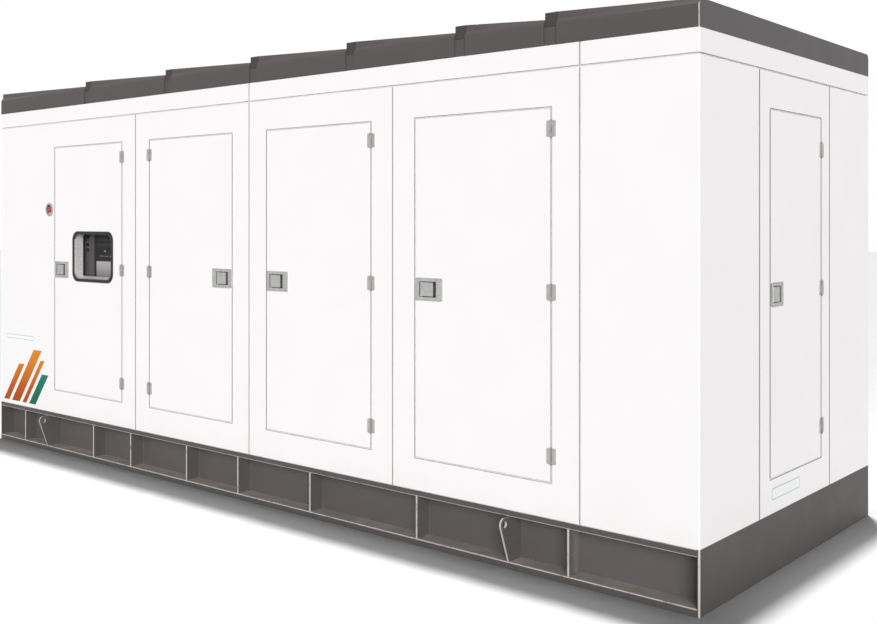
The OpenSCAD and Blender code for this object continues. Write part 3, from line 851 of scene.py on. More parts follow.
def bevel(
    mesh: BMesh,
    width: float,
    test: EdgeTest | None = None,
    steps: int = 2,
    turn: float = 40.0,
    finish: int = -1,
) -> None:
    """Round the convex edges of a solid.

    Args:
        mesh: Solid to work on.
        width: Width of the bevel.
        test: Says from an edge's middle whether it is rounded; all are if it is left out.
        steps: Segments across the bevel.
        turn: Least angle between an edge's faces, in degrees.
        finish: Material index of the new faces; -1 keeps the neighbours'.
    """
    least = math.radians(turn)
    edges = [
        edge
        for edge in mesh.edges
        if edge.is_manifold
        and edge.is_convex
        and edge.calc_face_angle(0) > least
        and (test is None or test((edge.verts[0].co + edge.verts[1].co) / 2))
    ]
    bmesh.ops.bevel(mesh, geom=edges, offset=width, offset_type="OFFSET", segments=steps,
                    profile=0.5, affect="EDGES", clamp_overlap=True, material=finish)


def paint(mesh: BMesh, index: int, test: FaceTest) -> None:
    """Give faces a material index.

    Args:
        mesh: Mesh to work on.
        index: Material index.
        test: Says from a face's centre and normal whether it is painted.
    """
    for face in mesh.faces:
        if test(face.calc_center_median(), face.normal):
            face.material_index = index


def append_placed(target: BMesh, part: BMesh, turn: Matrix) -> None:
    """Move a bmesh into place and add it to another.

    Args:
        target: Mesh that gets it.
        part: Mesh in its own frame, which is freed.
        turn: Matrix to the target's frame.
    """
    bmesh.ops.transform(part, matrix=turn, verts=part.verts)
    data = bpy.data.meshes.new("part")
    part.to_mesh(data)
    part.free()
    target.from_mesh(data)
    bpy.data.meshes.remove(data)


def add_loops(
    mesh: BMesh, loops: Sequence[tuple[Outline, float]], index: int, is_ring: bool = False
) -> list[bmesh.types.BMFace]:
    """Add outlines at their depths and bridge each to the next.

    Args:
        mesh: Mesh that gets them.
        loops: Outlines of as many points, in x and z, each with its depth.
        index: Material index of the faces.
        is_ring: True to bridge the last to the first, False to close both ends.

    Returns:
        The new faces.
    """
    rows = [[mesh.verts.new((x, depth, z)) for x, z in line] for line, depth in loops]
    faces = [] if is_ring else [mesh.faces.new(rows[0][::-1]), mesh.faces.new(rows[-1])]
    for row, after in zip(rows, rows[1:] + rows[:1] if is_ring else rows[1:]):
        for i in range(len(row)):
            j = (i + 1) % len(row)
            faces.append(mesh.faces.new((row[i], row[j], after[j], after[i])))
    for face in faces:
        face.material_index = index
    return faces


def add_prism(mesh: BMesh, outline: Outline, near: float, far: float, index: int = 0) -> None:
    """Add an outline, anticlockwise from outside, as a solid between two depths."""
    add_loops(mesh, ((outline, far), (outline, near)), index)


def add_ring(mesh: BMesh, outer: Outline, inner: Outline, near: float, far: float) -> None:
    """Add a ring between two outlines of as many points, between two depths."""
    add_loops(mesh, ((outer, near), (inner, near), (inner, far), (outer, far)), 0, True)


def add_turned(mesh: BMesh, centre: Pair, profile: Outline, index: int, sides: int) -> None:
    """Add a closed round body standing off a wall.

    Args:
        mesh: Mesh that gets it.
        centre: Its axis in x and z of the wall's frame.
        profile: Radius and depth of each ring, from the back to the front.
        index: Material index of its faces.
        sides: Segments round the axis.
    """
    turns = [2 * math.pi * i / sides for i in range(sides)]
    loops = [(arc(centre, radius, turns), depth) for radius, depth in profile]
    bmesh.ops.recalc_face_normals(mesh, faces=add_loops(mesh, loops, index))


def arc(centre: Pair, radius: float, turns: Iterable[float]) -> Outline:
    """Return the points of an arc at some angles."""
    x, z = centre
    return [(x + radius * math.cos(turn), z + radius * math.sin(turn)) for turn in turns]


def rectangle(box: Sequence[float], inset: float = 0.0) -> Outline:
    """Return the corners, anticlockwise, of a box of low x, low z, high x and high z."""
    x0, z0, x1, z1 = box[0] + inset, box[1] + inset, box[2] - inset, box[3] - inset
    return [(x0, z0), (x1, z0), (x1, z1), (x0, z1)]


def rounded(centre: Pair, size: Pair, radius: float, steps: int = 6) -> Outline:
    """Return a rounded rectangle, anticlockwise.

    Args:
        centre: Its centre.
        size: Overall width and height.
        radius: Corner radius.
        steps: Segments round each corner.

    Returns:
        The corners' points.
    """
    points = []
    for corner, (right, up) in enumerate(((1, 1), (-1, 1), (-1, -1), (1, -1))):
        middle = (centre[0] + right * (size[0] / 2 - radius),
                  centre[1] + up * (size[1] / 2 - radius))
        turns = [math.radians(90) * (corner + i / steps) for i in range(steps + 1)]
        points += arc(middle, radius, turns)
    return points


def finished(
    name: str,
    mesh: BMesh,
    finishes: Sequence[Surface],
    stands_for: Sequence[str] = (),
    body: str = ROOT,
    smooth: bool = True,
) -> None:
    """Turn a bmesh into a finished piece that rides on a body.

    Args:
        name: Piece's name.
        mesh: Its shape, which is freed.
        finishes: Finishes in the order of the faces' material indices.
        stands_for: CAD nodes that it replaces.
        body: CAD body that it rides on.
        smooth: True to shade across the small bevels, with flat faces kept flat.
    """
    piece = new_object(name, mesh)
    for finish in finishes:
        piece.data.materials.append(finish.material())
    if smooth:
        piece.data.shade_smooth()
        piece.data.set_sharp_from_angle(angle=CREASE)
        piece.modifiers.new("flat_faces", "WEIGHTED_NORMAL").keep_sharp = True
        rough = piece.data
        piece.data = evaluated_mesh(piece)
        piece.modifiers.clear()
        piece.data.name = name
        bpy.data.meshes.remove(rough)
    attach(piece, body)
    if stands_for:
        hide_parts(*stands_for)
    log.info("%s on %s: %d faces", name, body, len(piece.data.polygons))


def dress_node(name: str, finish: Surface) -> None:
    """Give a CAD node that stays as it is its finish.

    Args:
        name: CAD node.
        finish: Its finish.
    """
    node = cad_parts[name]
    node.data.materials.clear()
    node.data.materials.append(finish.material())
    log.info("%s kept, in %s", name, finish.name)


# ---- geometry nodes


class NodeMaker:
    """Base of the geometry-node trees: named inputs, then a plain mesh baked from them."""

    NAME = "maker"
    INPUTS: dict[str, float] = {}
    KINDS = {float: "NodeSocketFloat", int: "NodeSocketInt", type(None): "NodeSocketMaterial"}

    def __init__(self) -> None:
        """Build the tree: named inputs, the shape, Realize Instances and Set Material."""
        self.tree = bpy.data.node_groups.new(self.NAME, "GeometryNodeTree")
        face = self.tree.interface
        for way in ("INPUT", "OUTPUT"):
            face.new_socket(name="Geometry", in_out=way, socket_type="NodeSocketGeometry")
        self.sockets = {}
        for name, default in {**self.INPUTS, "Material": None}.items():
            kind = self.KINDS[type(default)]
            item = face.new_socket(name=name, in_out="INPUT", socket_type=kind)
            item.default_value = default
            self.sockets[name] = item.identifier
        outputs = add_node(self.tree, "NodeGroupInput").outputs
        given = {socket.name: socket for socket in outputs if socket.name}
        whole = add_node(self.tree, "GeometryNodeRealizeInstances", (self.build(given),))
        dressed = {0: whole, "Material": given["Material"]}
        coloured = add_node(self.tree, "GeometryNodeSetMaterial", dressed)
        add_node(self.tree, "NodeGroupOutput", (coloured,))

    def build(self, given: dict[str, Link]) -> Link:
        """Add the nodes that make the shape, and return it before it is made real."""
        raise NotImplementedError

    def baked(self, carrier: Thing, finish: Surface, **values: float) -> BMesh:
        """Run the tree on a carrier, which is removed, and return the plain mesh.

        Args:
            carrier: Object whose mesh the tree works on.
            finish: Finish of the result.
            values: The tree's other inputs by name.

        Returns:
            The mesh, with all faces in the first slot.
        """
        run = carrier.modifiers.new(self.NAME, "NODES")
        run.node_group = self.tree
        for name, value in {**values, "Material": finish.material()}.items():
            run[self.sockets[name]] = value
        data = evaluated_mesh(carrier)
        mesh = bmesh.new()
        mesh.from_mesh(data)
        paint(mesh, 0, lambda centre, normal: True)
        bpy.data.objects.remove(carrier)
        bpy.data.meshes.remove(data)
        return mesh


class ScrewHeads(NodeMaker):
    """A low screw head with a sunk middle at every vertex, along the vertex's facing."""

    NAME = "screw_heads"
    INPUTS = {"Radius": 5 * MM, "Height": 1.2 * MM}
    SIDES = 14
    SHARES = {
        "skirt": ("Height", 0.45),
        "crown": ("Height", 0.55),
        "lift": ("Height", 0.225),
        "sunk": ("Radius", 0.62),
    }

    def build(self, given: dict[str, Link]) -> Link:
        """Instance one head on every vertex, turned to the stored facing.

        Args:
            given: The tree's inputs by name.

        Returns:
            The heads as instances.
        """
        tree = self.tree
        size = {
            name: add_node(tree, MATH, (given[whole], share), operation="MULTIPLY")
            for name, (whole, share) in self.SHARES.items()
        }
        drum = {"Vertices": self.SIDES, "Radius": given["Radius"], "Depth": size["skirt"]}
        skirt = add_node(tree, "GeometryNodeMeshCylinder", drum)
        cone = {"Vertices": self.SIDES, "Radius Top": size["sunk"],
                "Radius Bottom": given["Radius"], "Depth": size["crown"]}
        crown = add_node(tree, "GeometryNodeMeshCone", cone, fill_type="NONE")
        up = add_node(tree, "ShaderNodeCombineXYZ", {2: size["lift"]})
        moved = {"Geometry": crown, "Translation": up}
        lifted = add_node(tree, "GeometryNodeTransform", moved)
        head = add_node(tree, "GeometryNodeJoinGeometry", (skirt,))
        tree.links.new(lifted.outputs[0], head.inputs[0])
        facing = add_node(tree, "GeometryNodeInputNamedAttribute", {"Name": "facing"},
                          data_type="FLOAT_VECTOR")
        turn = add_node(tree, "FunctionNodeAlignRotationToVector", {"Vector": facing}, axis="Z")
        points = add_node(tree, "GeometryNodeMeshToPoints", (given["Geometry"],))
        placing = {"Points": points, "Instance": head, "Rotation": turn}
        return add_node(tree, "GeometryNodeInstanceOnPoints", placing)


class WeldBeads(NodeMaker):
    """Overlapping ripples of a fillet weld along every edge of the carrier."""

    NAME = "weld_beads"
    INPUTS = {"Leg": 6 * MM, "Pitch": 7 * MM, "Seed": 11}
    RIPPLE = {"Segments": 7, "Rings": 4}
    SPREAD = {2: 0.82, 3: 1.12}  # smallest and largest ripple, as shares of the leg

    def build(self, given: dict[str, Link]) -> Link:
        """Turn edges to curves, space points along them and set a ripple on each.

        Args:
            given: The tree's inputs by name.

        Returns:
            The ripples as instances.
        """
        tree = self.tree
        curve = add_node(tree, "GeometryNodeMeshToCurve", (given["Geometry"],))
        spaced = {"Curve": curve, "Length": given["Pitch"]}
        points = add_node(tree, "GeometryNodeCurveToPoints", spaced, mode="LENGTH")
        bead = {**self.RIPPLE, "Radius": given["Leg"]}
        ripple = add_node(tree, "GeometryNodeMeshUVSphere", bead)
        along = {"Vector": points.outputs["Tangent"]}
        turn = add_node(tree, "FunctionNodeAlignRotationToVector", along, axis="Z")
        spread = {**self.SPREAD, "Seed": given["Seed"]}
        size = add_node(tree, "FunctionNodeRandomValue", spread, data_type="FLOAT")
        placing = {"Points": points.outputs["Points"], "Instance": ripple,
                   "Rotation": turn, "Scale": size.outputs[1]}
        return add_node(tree, "GeometryNodeInstanceOnPoints", placing)


class SweptSeal(NodeMaker):
    """A round rubber seal swept along the closed loops of the carrier."""

    NAME = "swept_seal"
    INPUTS = {"Radius": 2.4 * MM, "Corner": 12 * MM}
    CORNER_STEPS = 4
    SIDES = 10

    def build(self, given: dict[str, Link]) -> Link:
        """Turn the loops to curves, round their corners and sweep a circle along them.

        Args:
            given: The tree's inputs by name.

        Returns:
            The seal.
        """
        tree = self.tree
        path = add_node(tree, "GeometryNodeMeshToCurve", (given["Geometry"],))
        corner = {"Curve": path, "Count": self.CORNER_STEPS, "Radius": given["Corner"]}
        eased = add_node(tree, "GeometryNodeFilletCurve", corner, mode="POLY")
        circle = {"Resolution": self.SIDES, "Radius": given["Radius"]}
        section = add_node(tree, "GeometryNodeCurvePrimitiveCircle", circle)
        sweep = {"Curve": eased, "Profile Curve": section}
        return add_node(tree, "GeometryNodeCurveToMesh", sweep)


class DeckStuds(NodeMaker):
    """Raised tear-drop studs in alternating directions over a rectangular plate."""

    NAME = "deck_studs"
    INPUTS = {"Length": 6.0, "Width": 2.0, "Pitch": 70 * MM, "Rise": 2 * MM}
    STUD = {"Vertices": 6, "Radius Top": 0.35, "Radius Bottom": 1.0, "Depth": 1.0}
    SHARES = (0.36, 0.11)  # half length and half width of a stud, as shares of the pitch

    def build(self, given: dict[str, Link]) -> Link:
        """Lay a grid of points and set a stud on each, turned one way and the other.

        Args:
            given: The tree's inputs by name.

        Returns:
            The studs as instances.
        """
        tree = self.tree
        grid = {"Size X": given["Length"], "Size Y": given["Width"]}
        for way, reach in (("X", "Length"), ("Y", "Width")):
            span = (given[reach], given["Pitch"])
            fit = add_node(tree, MATH, span, operation="DIVIDE")
            whole = add_node(tree, MATH, (fit,), operation="FLOOR")
            grid[f"Vertices {way}"] = whole
        plate = add_node(tree, "GeometryNodeMeshGrid", grid)
        points = add_node(tree, "GeometryNodeMeshToPoints", (plate,))
        stud = add_node(tree, "GeometryNodeMeshCone", self.STUD)
        index = add_node(tree, "GeometryNodeInputIndex")
        odd = add_node(tree, MATH, (index, 2.0), operation="MODULO")
        turned = add_node(tree, MATH, (odd, math.pi / 2), operation="MULTIPLY")
        lean = add_node(tree, MATH, (turned, math.pi / 4), operation="SUBTRACT")
        turn = add_node(tree, "ShaderNodeCombineXYZ", {2: lean})
        sizes = [
            add_node(tree, MATH, (given["Pitch"], share), operation="MULTIPLY")
            for share in self.SHARES
        ]
        size = add_node(tree, "ShaderNodeCombineXYZ", (*sizes, given["Rise"]))
        placing = {"Points": points, "Instance": stud, "Rotation": turn, "Scale": size}
        return add_node(tree, "GeometryNodeInstanceOnPoints", placing)


def points_carrier(spots: Spots) -> Thing:
    """Return an object of loose vertices that each hold which way they face.

    Args:
        spots: Place and facing of each vertex.

    Returns:
        The carrier, with the attribute "facing".
    """
    data = bpy.data.meshes.new("carrier")
    data.from_pydata([tuple(place) for place, _ in spots], [], [])
    facing = data.attributes.new("facing", "FLOAT_VECTOR", "POINT")
    for slot, (_, way) in zip(facing.data, spots):
        slot.vector = way
    return in_scene("carrier", data)


def lines_carrier(lines: Iterable[Sequence[Vector]], closed: bool = False) -> Thing:
    """Return an object of edges along lines.

    Args:
        lines: Points of each line.
        closed: True to join each line's end to its start.

    Returns:
        The carrier.
    """
    places: list[tuple[float, ...]] = []
    edges: list[tuple[int, int]] = []
    for line in lines:
        first = len(places)
        places += [tuple(point) for point in line]
        edges += [(i, i + 1) for i in range(first, len(places) - 1)]
        if closed:
            edges.append((len(places) - 1, first))
    data = bpy.data.meshes.new("carrier")
    data.from_pydata(places, edges, [])
    return in_scene("carrier", data)


# ---- places


@dataclass(frozen=True)
class Shell:
    """Reach of the canopy's outer faces, its foot and eave, and its walls' thickness."""

    half_length: float
    half_width: float
    foot: float
    eave: float
    wall: float

    @classmethod
    def read(cls) -> "Shell":
        """Measure the shell on the CAD nodes.

        Returns:
            The shell.
        """
        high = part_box("side_bands")[1]
        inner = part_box("deck")[1]
        return cls(high.x, high.y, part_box("front_posts")[0].z, high.z, high.x - inner.x)

    def placement(self, wall: Wall) -> Matrix:
        """Return the matrix from a wall's frame to the row frame.

        In the wall's frame x runs left to right as seen from outside, y runs inward from
        the outer face and z is up.

        Args:
            wall: The wall.

        Returns:
            The matrix.
        """
        reach = self.half_width if wall.is_side else self.half_length
        turn = Matrix.Rotation(math.radians(wall.value), 4, "Z")
        return turn @ Matrix.Translation((0, -reach, 0))

    def depth(self, point: Vector) -> float:
        """Return how deep a point lies under the nearest outer face."""
        return min(self.half_length - abs(point.x), self.half_width - abs(point.y))


@dataclass(frozen=True)
class DoorPlace:
    """One door's leaf in its wall's frame, with the CAD body that it rides on."""

    wall: Wall
    hinge: Hinge
    body: str
    centre: float
    width: float
    foot: float
    top: float

    @property
    def box(self) -> Box:
        """Left edge, foot, right edge and top."""
        half = self.width / 2
        return (self.centre - half, self.foot, self.centre + half, self.top)

    @property
    def turn(self) -> Matrix:
        """Matrix from the wall's frame to the row frame."""
        return SHELL.placement(self.wall)


SHELL = Shell.read()
MOVING_DOORS = {
    "control_door": (Wall.FRONT, Hinge.RIGHT),
    "service_door_1": (Wall.FRONT, Hinge.LEFT),
    "service_door_2": (Wall.FRONT, Hinge.RIGHT),
    "service_door_3": (Wall.FRONT, Hinge.RIGHT),
    "end_door": (Wall.RIGHT, Hinge.RIGHT),
}


def door_places() -> list[DoorPlace]:
    """Measure the five hung doors, and mirror them for the fixed ones.

    Returns:
        The hung doors and then the fixed ones.
    """
    hung = []
    for name, (wall, hinge) in MOVING_DOORS.items():
        low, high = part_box(name)
        axis = 0 if wall.is_side else 1
        centre, width = (low[axis] + high[axis]) / 2, high[axis] - low[axis]
        hung.append(DoorPlace(wall, hinge, name, centre, width, low.z, high.z))
    return hung + [
        replace(place, wall=place.wall.opposite, hinge=Hinge(-place.hinge.value),
                body=ROOT, centre=-place.centre)
        for place in hung
    ]


def at_reach(value: float, reach: float) -> bool:
    """Say whether a coordinate lies at a distance on either side of the middle."""
    return abs(abs(value) - reach) < MM


def on_skin(middle: Vector) -> bool:
    """Say whether an edge lies on the canopy's outer faces."""
    return at_reach(middle.x, SHELL.half_length) or at_reach(middle.y, SHELL.half_width)


def at_corner(middle: Vector) -> bool:
    """Say whether an edge lies on one of the four upright corners."""
    return at_reach(middle.x, SHELL.half_length) and at_reach(middle.y, SHELL.half_width)


def beside_door(places: Sequence[DoorPlace], reach: float) -> EdgeTest:
    """Return a test for points in the band round the doors' edges.

    Args:
        places: The doors.
        reach: Distance on either side of a leaf's edge.

    Returns:
        A test that takes a point of the row frame.
    """
    known = [(place.turn.inverted(), place.box) for place in places]

    def test(point: Vector) -> bool:
        """Say whether a point lies in a wall's thickness beside a leaf's edge.

        Args:
            point: Point of the row frame.

        Returns:
            True beside any of the doors.
        """
        for turn, (left, foot, right, top) in known:
            x, y, z = turn @ point
            beyond = max(left - x, x - right, foot - z, z - top)
            if abs(y) < SHELL.wall and abs(beyond) < reach:
                return True
        return False

    return test


def inner_sheet(depth: float) -> FaceTest:
    """Return a test for the faces of a wall's or a leaf's inner sheet.

    Args:
        depth: Depth of the sheet under the outer face.

    Returns:
        A test that takes a face's centre and normal.
    """

    def test(centre: Vector, normal: Vector) -> bool:
        """Say whether a face lies at the depth and looks across the wall.

        Args:
            centre: The face's centre.
            normal: Its normal.

        Returns:
            True for the sheet's faces.
        """
        side = at_reach(centre.y, SHELL.half_width - depth) and abs(normal.y) > ALONG
        end = at_reach(centre.x, SHELL.half_length - depth) and abs(normal.x) > ALONG
        return side or end

    return test


def cut_rims(mesh: BMesh, depth: float) -> None:
    """Cut a mesh along the four planes at a depth under the outer faces.

    Args:
        mesh: Mesh to cut.
        depth: Depth of the planes.
    """
    for axis, reach in ((0, SHELL.half_length), (1, SHELL.half_width)):
        for side in (-1, 1):
            facing = Vector((0, 0, 0))
            facing[axis] = side
            bmesh.ops.bisect_plane(
                mesh,
                geom=mesh.verts[:] + mesh.edges[:] + mesh.faces[:],
                dist=MERGE,
                plane_co=facing * (reach - depth),
                plane_no=facing,
            )


def paint_rims(mesh: BMesh, index: int, depth: float, test: EdgeTest) -> None:
    """Give the rims of holes and joints a material index down to a depth.

    Args:
        mesh: Mesh that is cut along that depth.
        index: Material index.
        depth: How deep the colour goes.
        test: Says from a face's centre whether it is painted.
    """

    def rim(centre: Vector, normal: Vector) -> bool:
        """Say whether a face runs into the wall within the depth.

        Args:
            centre: The face's centre.
            normal: Its normal.

        Returns:
            True for the rims' faces.
        """
        into_side = SHELL.half_width - abs(centre.y) < depth and abs(normal.y) < ACROSS
        into_end = SHELL.half_length - abs(centre.x) < depth and abs(normal.x) < ACROSS
        return (into_side or into_end) and test(centre)

    paint(mesh, index, rim)


# ---- sub-assemblies


@dataclass
class SkidBase:
    """Lifting base: side rails, end plates, cross members, lugs and the deck.

    Light lines on the outer edges are painted highlights, and the recess between each
    rail's flanges is painted lighter as painted light. The deck's studs stand further apart
    than real ones so that they show.
    """

    head_flange: float = 36 * MM
    foot_flange: float = 38 * MM
    web_depth: float = 110 * MM
    rib_depth: float = 6 * MM
    head_round: float = 3 * MM
    lip_round: float = 5 * MM
    arris_round: float = 7.5 * MM
    plate_round: float = 2 * MM
    lug_round: float = 1.2 * MM
    lug_across: float = 0.5  # an edge's normal has less than this along the plate's axis
    lug_outward: float = 0.25  # and more than this outward
    weld_leg: float = 6 * MM
    weld_pitch: float = 8 * MM
    weld_start: float = 14 * MM  # how far behind the lips the level welds begin
    stud_pitch: float = 70 * MM
    stud_rise: float = 2 * MM
    stud_sink: float = 0.1 * MM
    stud_margin: float = 90 * MM

    RAILS = {"front_rail": -1, "rear_rail": 1}  # CAD node and its side along y
    RUBBED, WEB = 1, 2  # indices of the finishes that follow the enamel

    def build(self) -> None:
        """Make and dress every piece of the base."""
        for name, side in self.RAILS.items():
            self.rail(name, side)
        self.end_plates()
        self.lugs()
        dress_node("cross_members", Finishes.BASE)
        dress_node("deck", Finishes.DECK)
        self.welds()
        self.studs()

    def is_rib(self, side: int, centre: Vector, normal: Vector) -> bool:
        """Say whether a rail's face is the outer edge of a rib."""
        rib_face = side * (SHELL.half_width - self.rib_depth)
        return abs(centre.y - rib_face) < MM and normal.y * side > ALONG

    def rail(self, name: str, side: int) -> None:
        """Make one side rail, with painted highlights on its flange lips and rib edges.

        Args:
            name: CAD node.
            side: Its side along y.
        """
        mesh = node_mesh(name)
        low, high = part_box(name)

        def on_face(middle: Vector) -> bool:
            """Say whether an edge lies on the rail's outer face."""
            return abs(middle.y - side * SHELL.half_width) < MM

        def lip(middle: Vector) -> bool:
            """Say whether an edge is a lip beside the web.

            Args:
                middle: The edge's middle.

            Returns:
                True for a lip's edge.
            """
            inset = min(high.z - middle.z, middle.z - low.z)
            within = low.x + MM < middle.x < high.x - MM
            return on_face(middle) and inset > self.head_round + MM and within

        def pocket(centre: Vector, normal: Vector) -> bool:
            """Say whether a face lies between the flanges."""
            deep = abs(centre.y) < SHELL.half_width - self.rib_depth - MM
            return deep and low.z + MM < centre.z < high.z - MM

        # Rib edges and flange lips get painted highlights.
        highlight = self.RUBBED
        paint(mesh, highlight, lambda centre, normal: self.is_rib(side, centre, normal))
        # The recess between the flanges gets the lighter web enamel: painted light.
        paint(mesh, self.WEB, pocket)
        bevel(mesh, self.lip_round, lip, finish=highlight)
        bevel(mesh, self.head_round, lambda m: on_face(m) and m.z > high.z - MM, finish=highlight)
        bevel(mesh, self.plate_round, lambda m: on_face(m) and m.z < low.z + MM)
        finished(f"{name}_painted", mesh, (Finishes.BASE, Finishes.EDGE, Finishes.WEB),
                 (name,))

    def end_plates(self) -> None:
        """Make the end plates, with painted highlights on their upright arrises."""
        mesh = node_mesh("end_beams")
        bevel(mesh, self.arris_round, at_corner, finish=self.RUBBED)
        bevel(mesh, self.plate_round, on_skin)
        finished("end_beams_painted", mesh, (Finishes.BASE, Finishes.EDGE),
                 ("end_beams",))

    def lugs(self) -> None:
        """Make the lifting lugs, with painted highlights on the edges that look outward."""
        mesh = node_mesh("lifting_lugs")

        def edge(centre: Vector, normal: Vector) -> bool:
            """Say whether a face is an edge of the plate that looks outward."""
            outward = normal.y * math.copysign(1, centre.y)
            return abs(normal.x) < self.lug_across and outward > self.lug_outward

        bevel(mesh, self.lug_round, turn=SQUARE)
        paint(mesh, self.RUBBED, edge)
        # The lugs take the lighter web enamel as well: painted light.
        finished("lifting_lugs_painted", mesh, (Finishes.WEB, Finishes.EDGE),
                 ("lifting_lugs",))

    def rib_sides(self, name: str, side: int) -> list[float]:
        """Return the x of both sides of each rib of a rail.

        Args:
            name: CAD node.
            side: Its side along y.

        Returns:
            The places in rising order.
        """
        mesh = node_mesh(name)
        found = set()
        for face in mesh.faces:
            if self.is_rib(side, face.calc_center_median(), face.normal):
                xs = [corner.co.x for corner in face.verts]
                found |= {min(xs), max(xs)}
        mesh.free()
        return sorted(found)

    def welds(self) -> None:
        """Run weld beads down both sides of every rib and along both flanges."""
        lines = []
        for name, side in self.RAILS.items():
            low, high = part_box(name)
            back = side * (SHELL.half_width - self.web_depth)
            near = side * (SHELL.half_width - self.weld_start)
            foot, head = low.z + self.foot_flange, high.z - self.head_flange
            for x in self.rib_sides(name, side):
                lines.append([Vector((x, back, foot)), Vector((x, back, head))])
                for z in (foot, head):
                    lines.append([Vector((x, near, z)), Vector((x, back, z))])
        mesh = WeldBeads().baked(lines_carrier(lines), Finishes.WELD, Leg=self.weld_leg,
                                 Pitch=self.weld_pitch)
        finished("rib_welds", mesh, (Finishes.WELD,))

    def studs(self) -> None:
        """Set the tread studs on the deck."""
        low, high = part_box("deck")
        mesh = DeckStuds().baked(
            points_carrier([(Vector(), Vector((0, 0, 1)))]),
            Finishes.DECK,
            Length=high.x - low.x - 2 * self.stud_margin,
            Width=high.y - low.y - 2 * self.stud_margin,
            Pitch=self.stud_pitch,
            Rise=self.stud_rise,
        )
        bmesh.ops.translate(mesh, verts=mesh.verts, vec=(0, 0, high.z - self.stud_sink))
        finished("deck_studs", mesh, (Finishes.DECK,), smooth=False)


@dataclass
class CanopyShell:
    """Walls and bands of the canopy, welded and filled so that they read as one sheet.

    Dark grey on the rims of the door holes and upright joints is painted shade, and pale
    grey on the joint under the band is painted light.
    """

    corner_round: float = 7 * MM
    corner_steps: int = 4
    edge_round: float = 1 * MM
    door_reach: float = 14 * MM  # how far from a leaf's edge its painted gap shade is looked for
    rim_colour: float = 4 * MM  # how deep the painted shade and light cover a rim
    band_reach: float = 9 * MM  # height of the strip that holds the joint under the band

    NODES = (
        "front_posts", "front_headers", "front_sills",
        "rear_posts", "rear_headers", "rear_sills",
        "end_posts", "end_headers", "end_sills",
        "side_bands", "end_bands",
    )
    FINISHES = (Finishes.SIDE_WHITE, Finishes.LINER, Finishes.GAP_SHADE, Finishes.JOINT_SHADE,
                Finishes.BAND_JOINT_LIGHT)
    LINER, GAP_SHADE, JOINT_SHADE, BAND = 1, 2, 3, 4  # indices of the finishes

    def build(self, places: Sequence[DoorPlace]) -> None:
        """Make the walls, with painted shade on the rims of the door holes and joints.

        Args:
            places: All the doors.
        """
        mesh = united(self.NODES)
        by_door = beside_door(places, self.door_reach)
        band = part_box("side_bands")[0].z

        def inset(middle: Vector) -> float:
            """Return the distance to the wall's foot or the eave."""
            return min(middle.z - SHELL.foot, SHELL.eave - middle.z)

        def by_band(middle: Vector) -> bool:
            """Say whether a point lies at the joint under the band."""
            return -MM < middle.z - band < self.band_reach

        def hole(middle: Vector) -> bool:
            """Say whether an edge is a door hole's."""
            return on_skin(middle) and inset(middle) > MM and by_door(middle)

        def joint(middle: Vector) -> bool:
            """Say whether an edge is an upright joint's."""
            apart = not by_door(middle) and not by_band(middle)
            return on_skin(middle) and inset(middle) > MM and apart

        bevel(mesh, self.corner_round, at_corner, self.corner_steps, SQUARE)
        # Rims of door holes and joints get painted shade, the joint under the band painted
        # light.
        for test, finish in (
            (hole, self.GAP_SHADE),
            (joint, self.JOINT_SHADE),
            (lambda m: on_skin(m) and by_band(m), self.BAND),
            (on_skin, -1),
        ):
            bevel(mesh, self.edge_round, test, 1, SQUARE, finish)
        cut_rims(mesh, self.rim_colour)
        for finish, test in (
            (self.JOINT_SHADE, lambda m: inset(m) > self.edge_round),
            (self.BAND, by_band),
            (self.GAP_SHADE, by_door),
        ):
            paint_rims(mesh, finish, self.rim_colour, test)
        paint(mesh, self.LINER, inner_sheet(SHELL.wall))
        finished("canopy_walls", mesh, self.FINISHES, self.NODES)


@dataclass
class RoofCap:
    """Roof: fascias, rising sections and the strips that close their joints."""

    corner_round: float = 5.5 * MM
    edge_round: float = 3 * MM
    strip_round: float = 2 * MM

    NODES = ("roof_sections", "side_fascias", "end_fascias")
    RUBBED, END = 1, 2  # indices of the finishes that follow the roof's

    def build(self) -> None:
        """Make the cap, with painted highlights on its upright corners, and its joint strips.
        """
        mesh = united(self.NODES)
        bevel(mesh, self.corner_round, at_corner, turn=STEEP, finish=self.RUBBED)
        bevel(mesh, self.edge_round, turn=STEEP)
        # The cap's end faces get a lighter copy of the roof enamel: painted light.
        paint(mesh, self.END, lambda centre, normal: on_skin(centre) and abs(normal.x) > ALONG)
        finished("roof_cap", mesh, (Finishes.ROOF, Finishes.EDGE, Finishes.ROOF_END),
                 self.NODES)
        # The set-back joint strips get a darker copy of it: painted shade.
        strips = node_mesh("roof_joints")
        bevel(strips, self.strip_round, turn=STEEP)
        finished("roof_joint_strips", strips, (Finishes.ROOF_JOINT,),
                 ("roof_joints",))


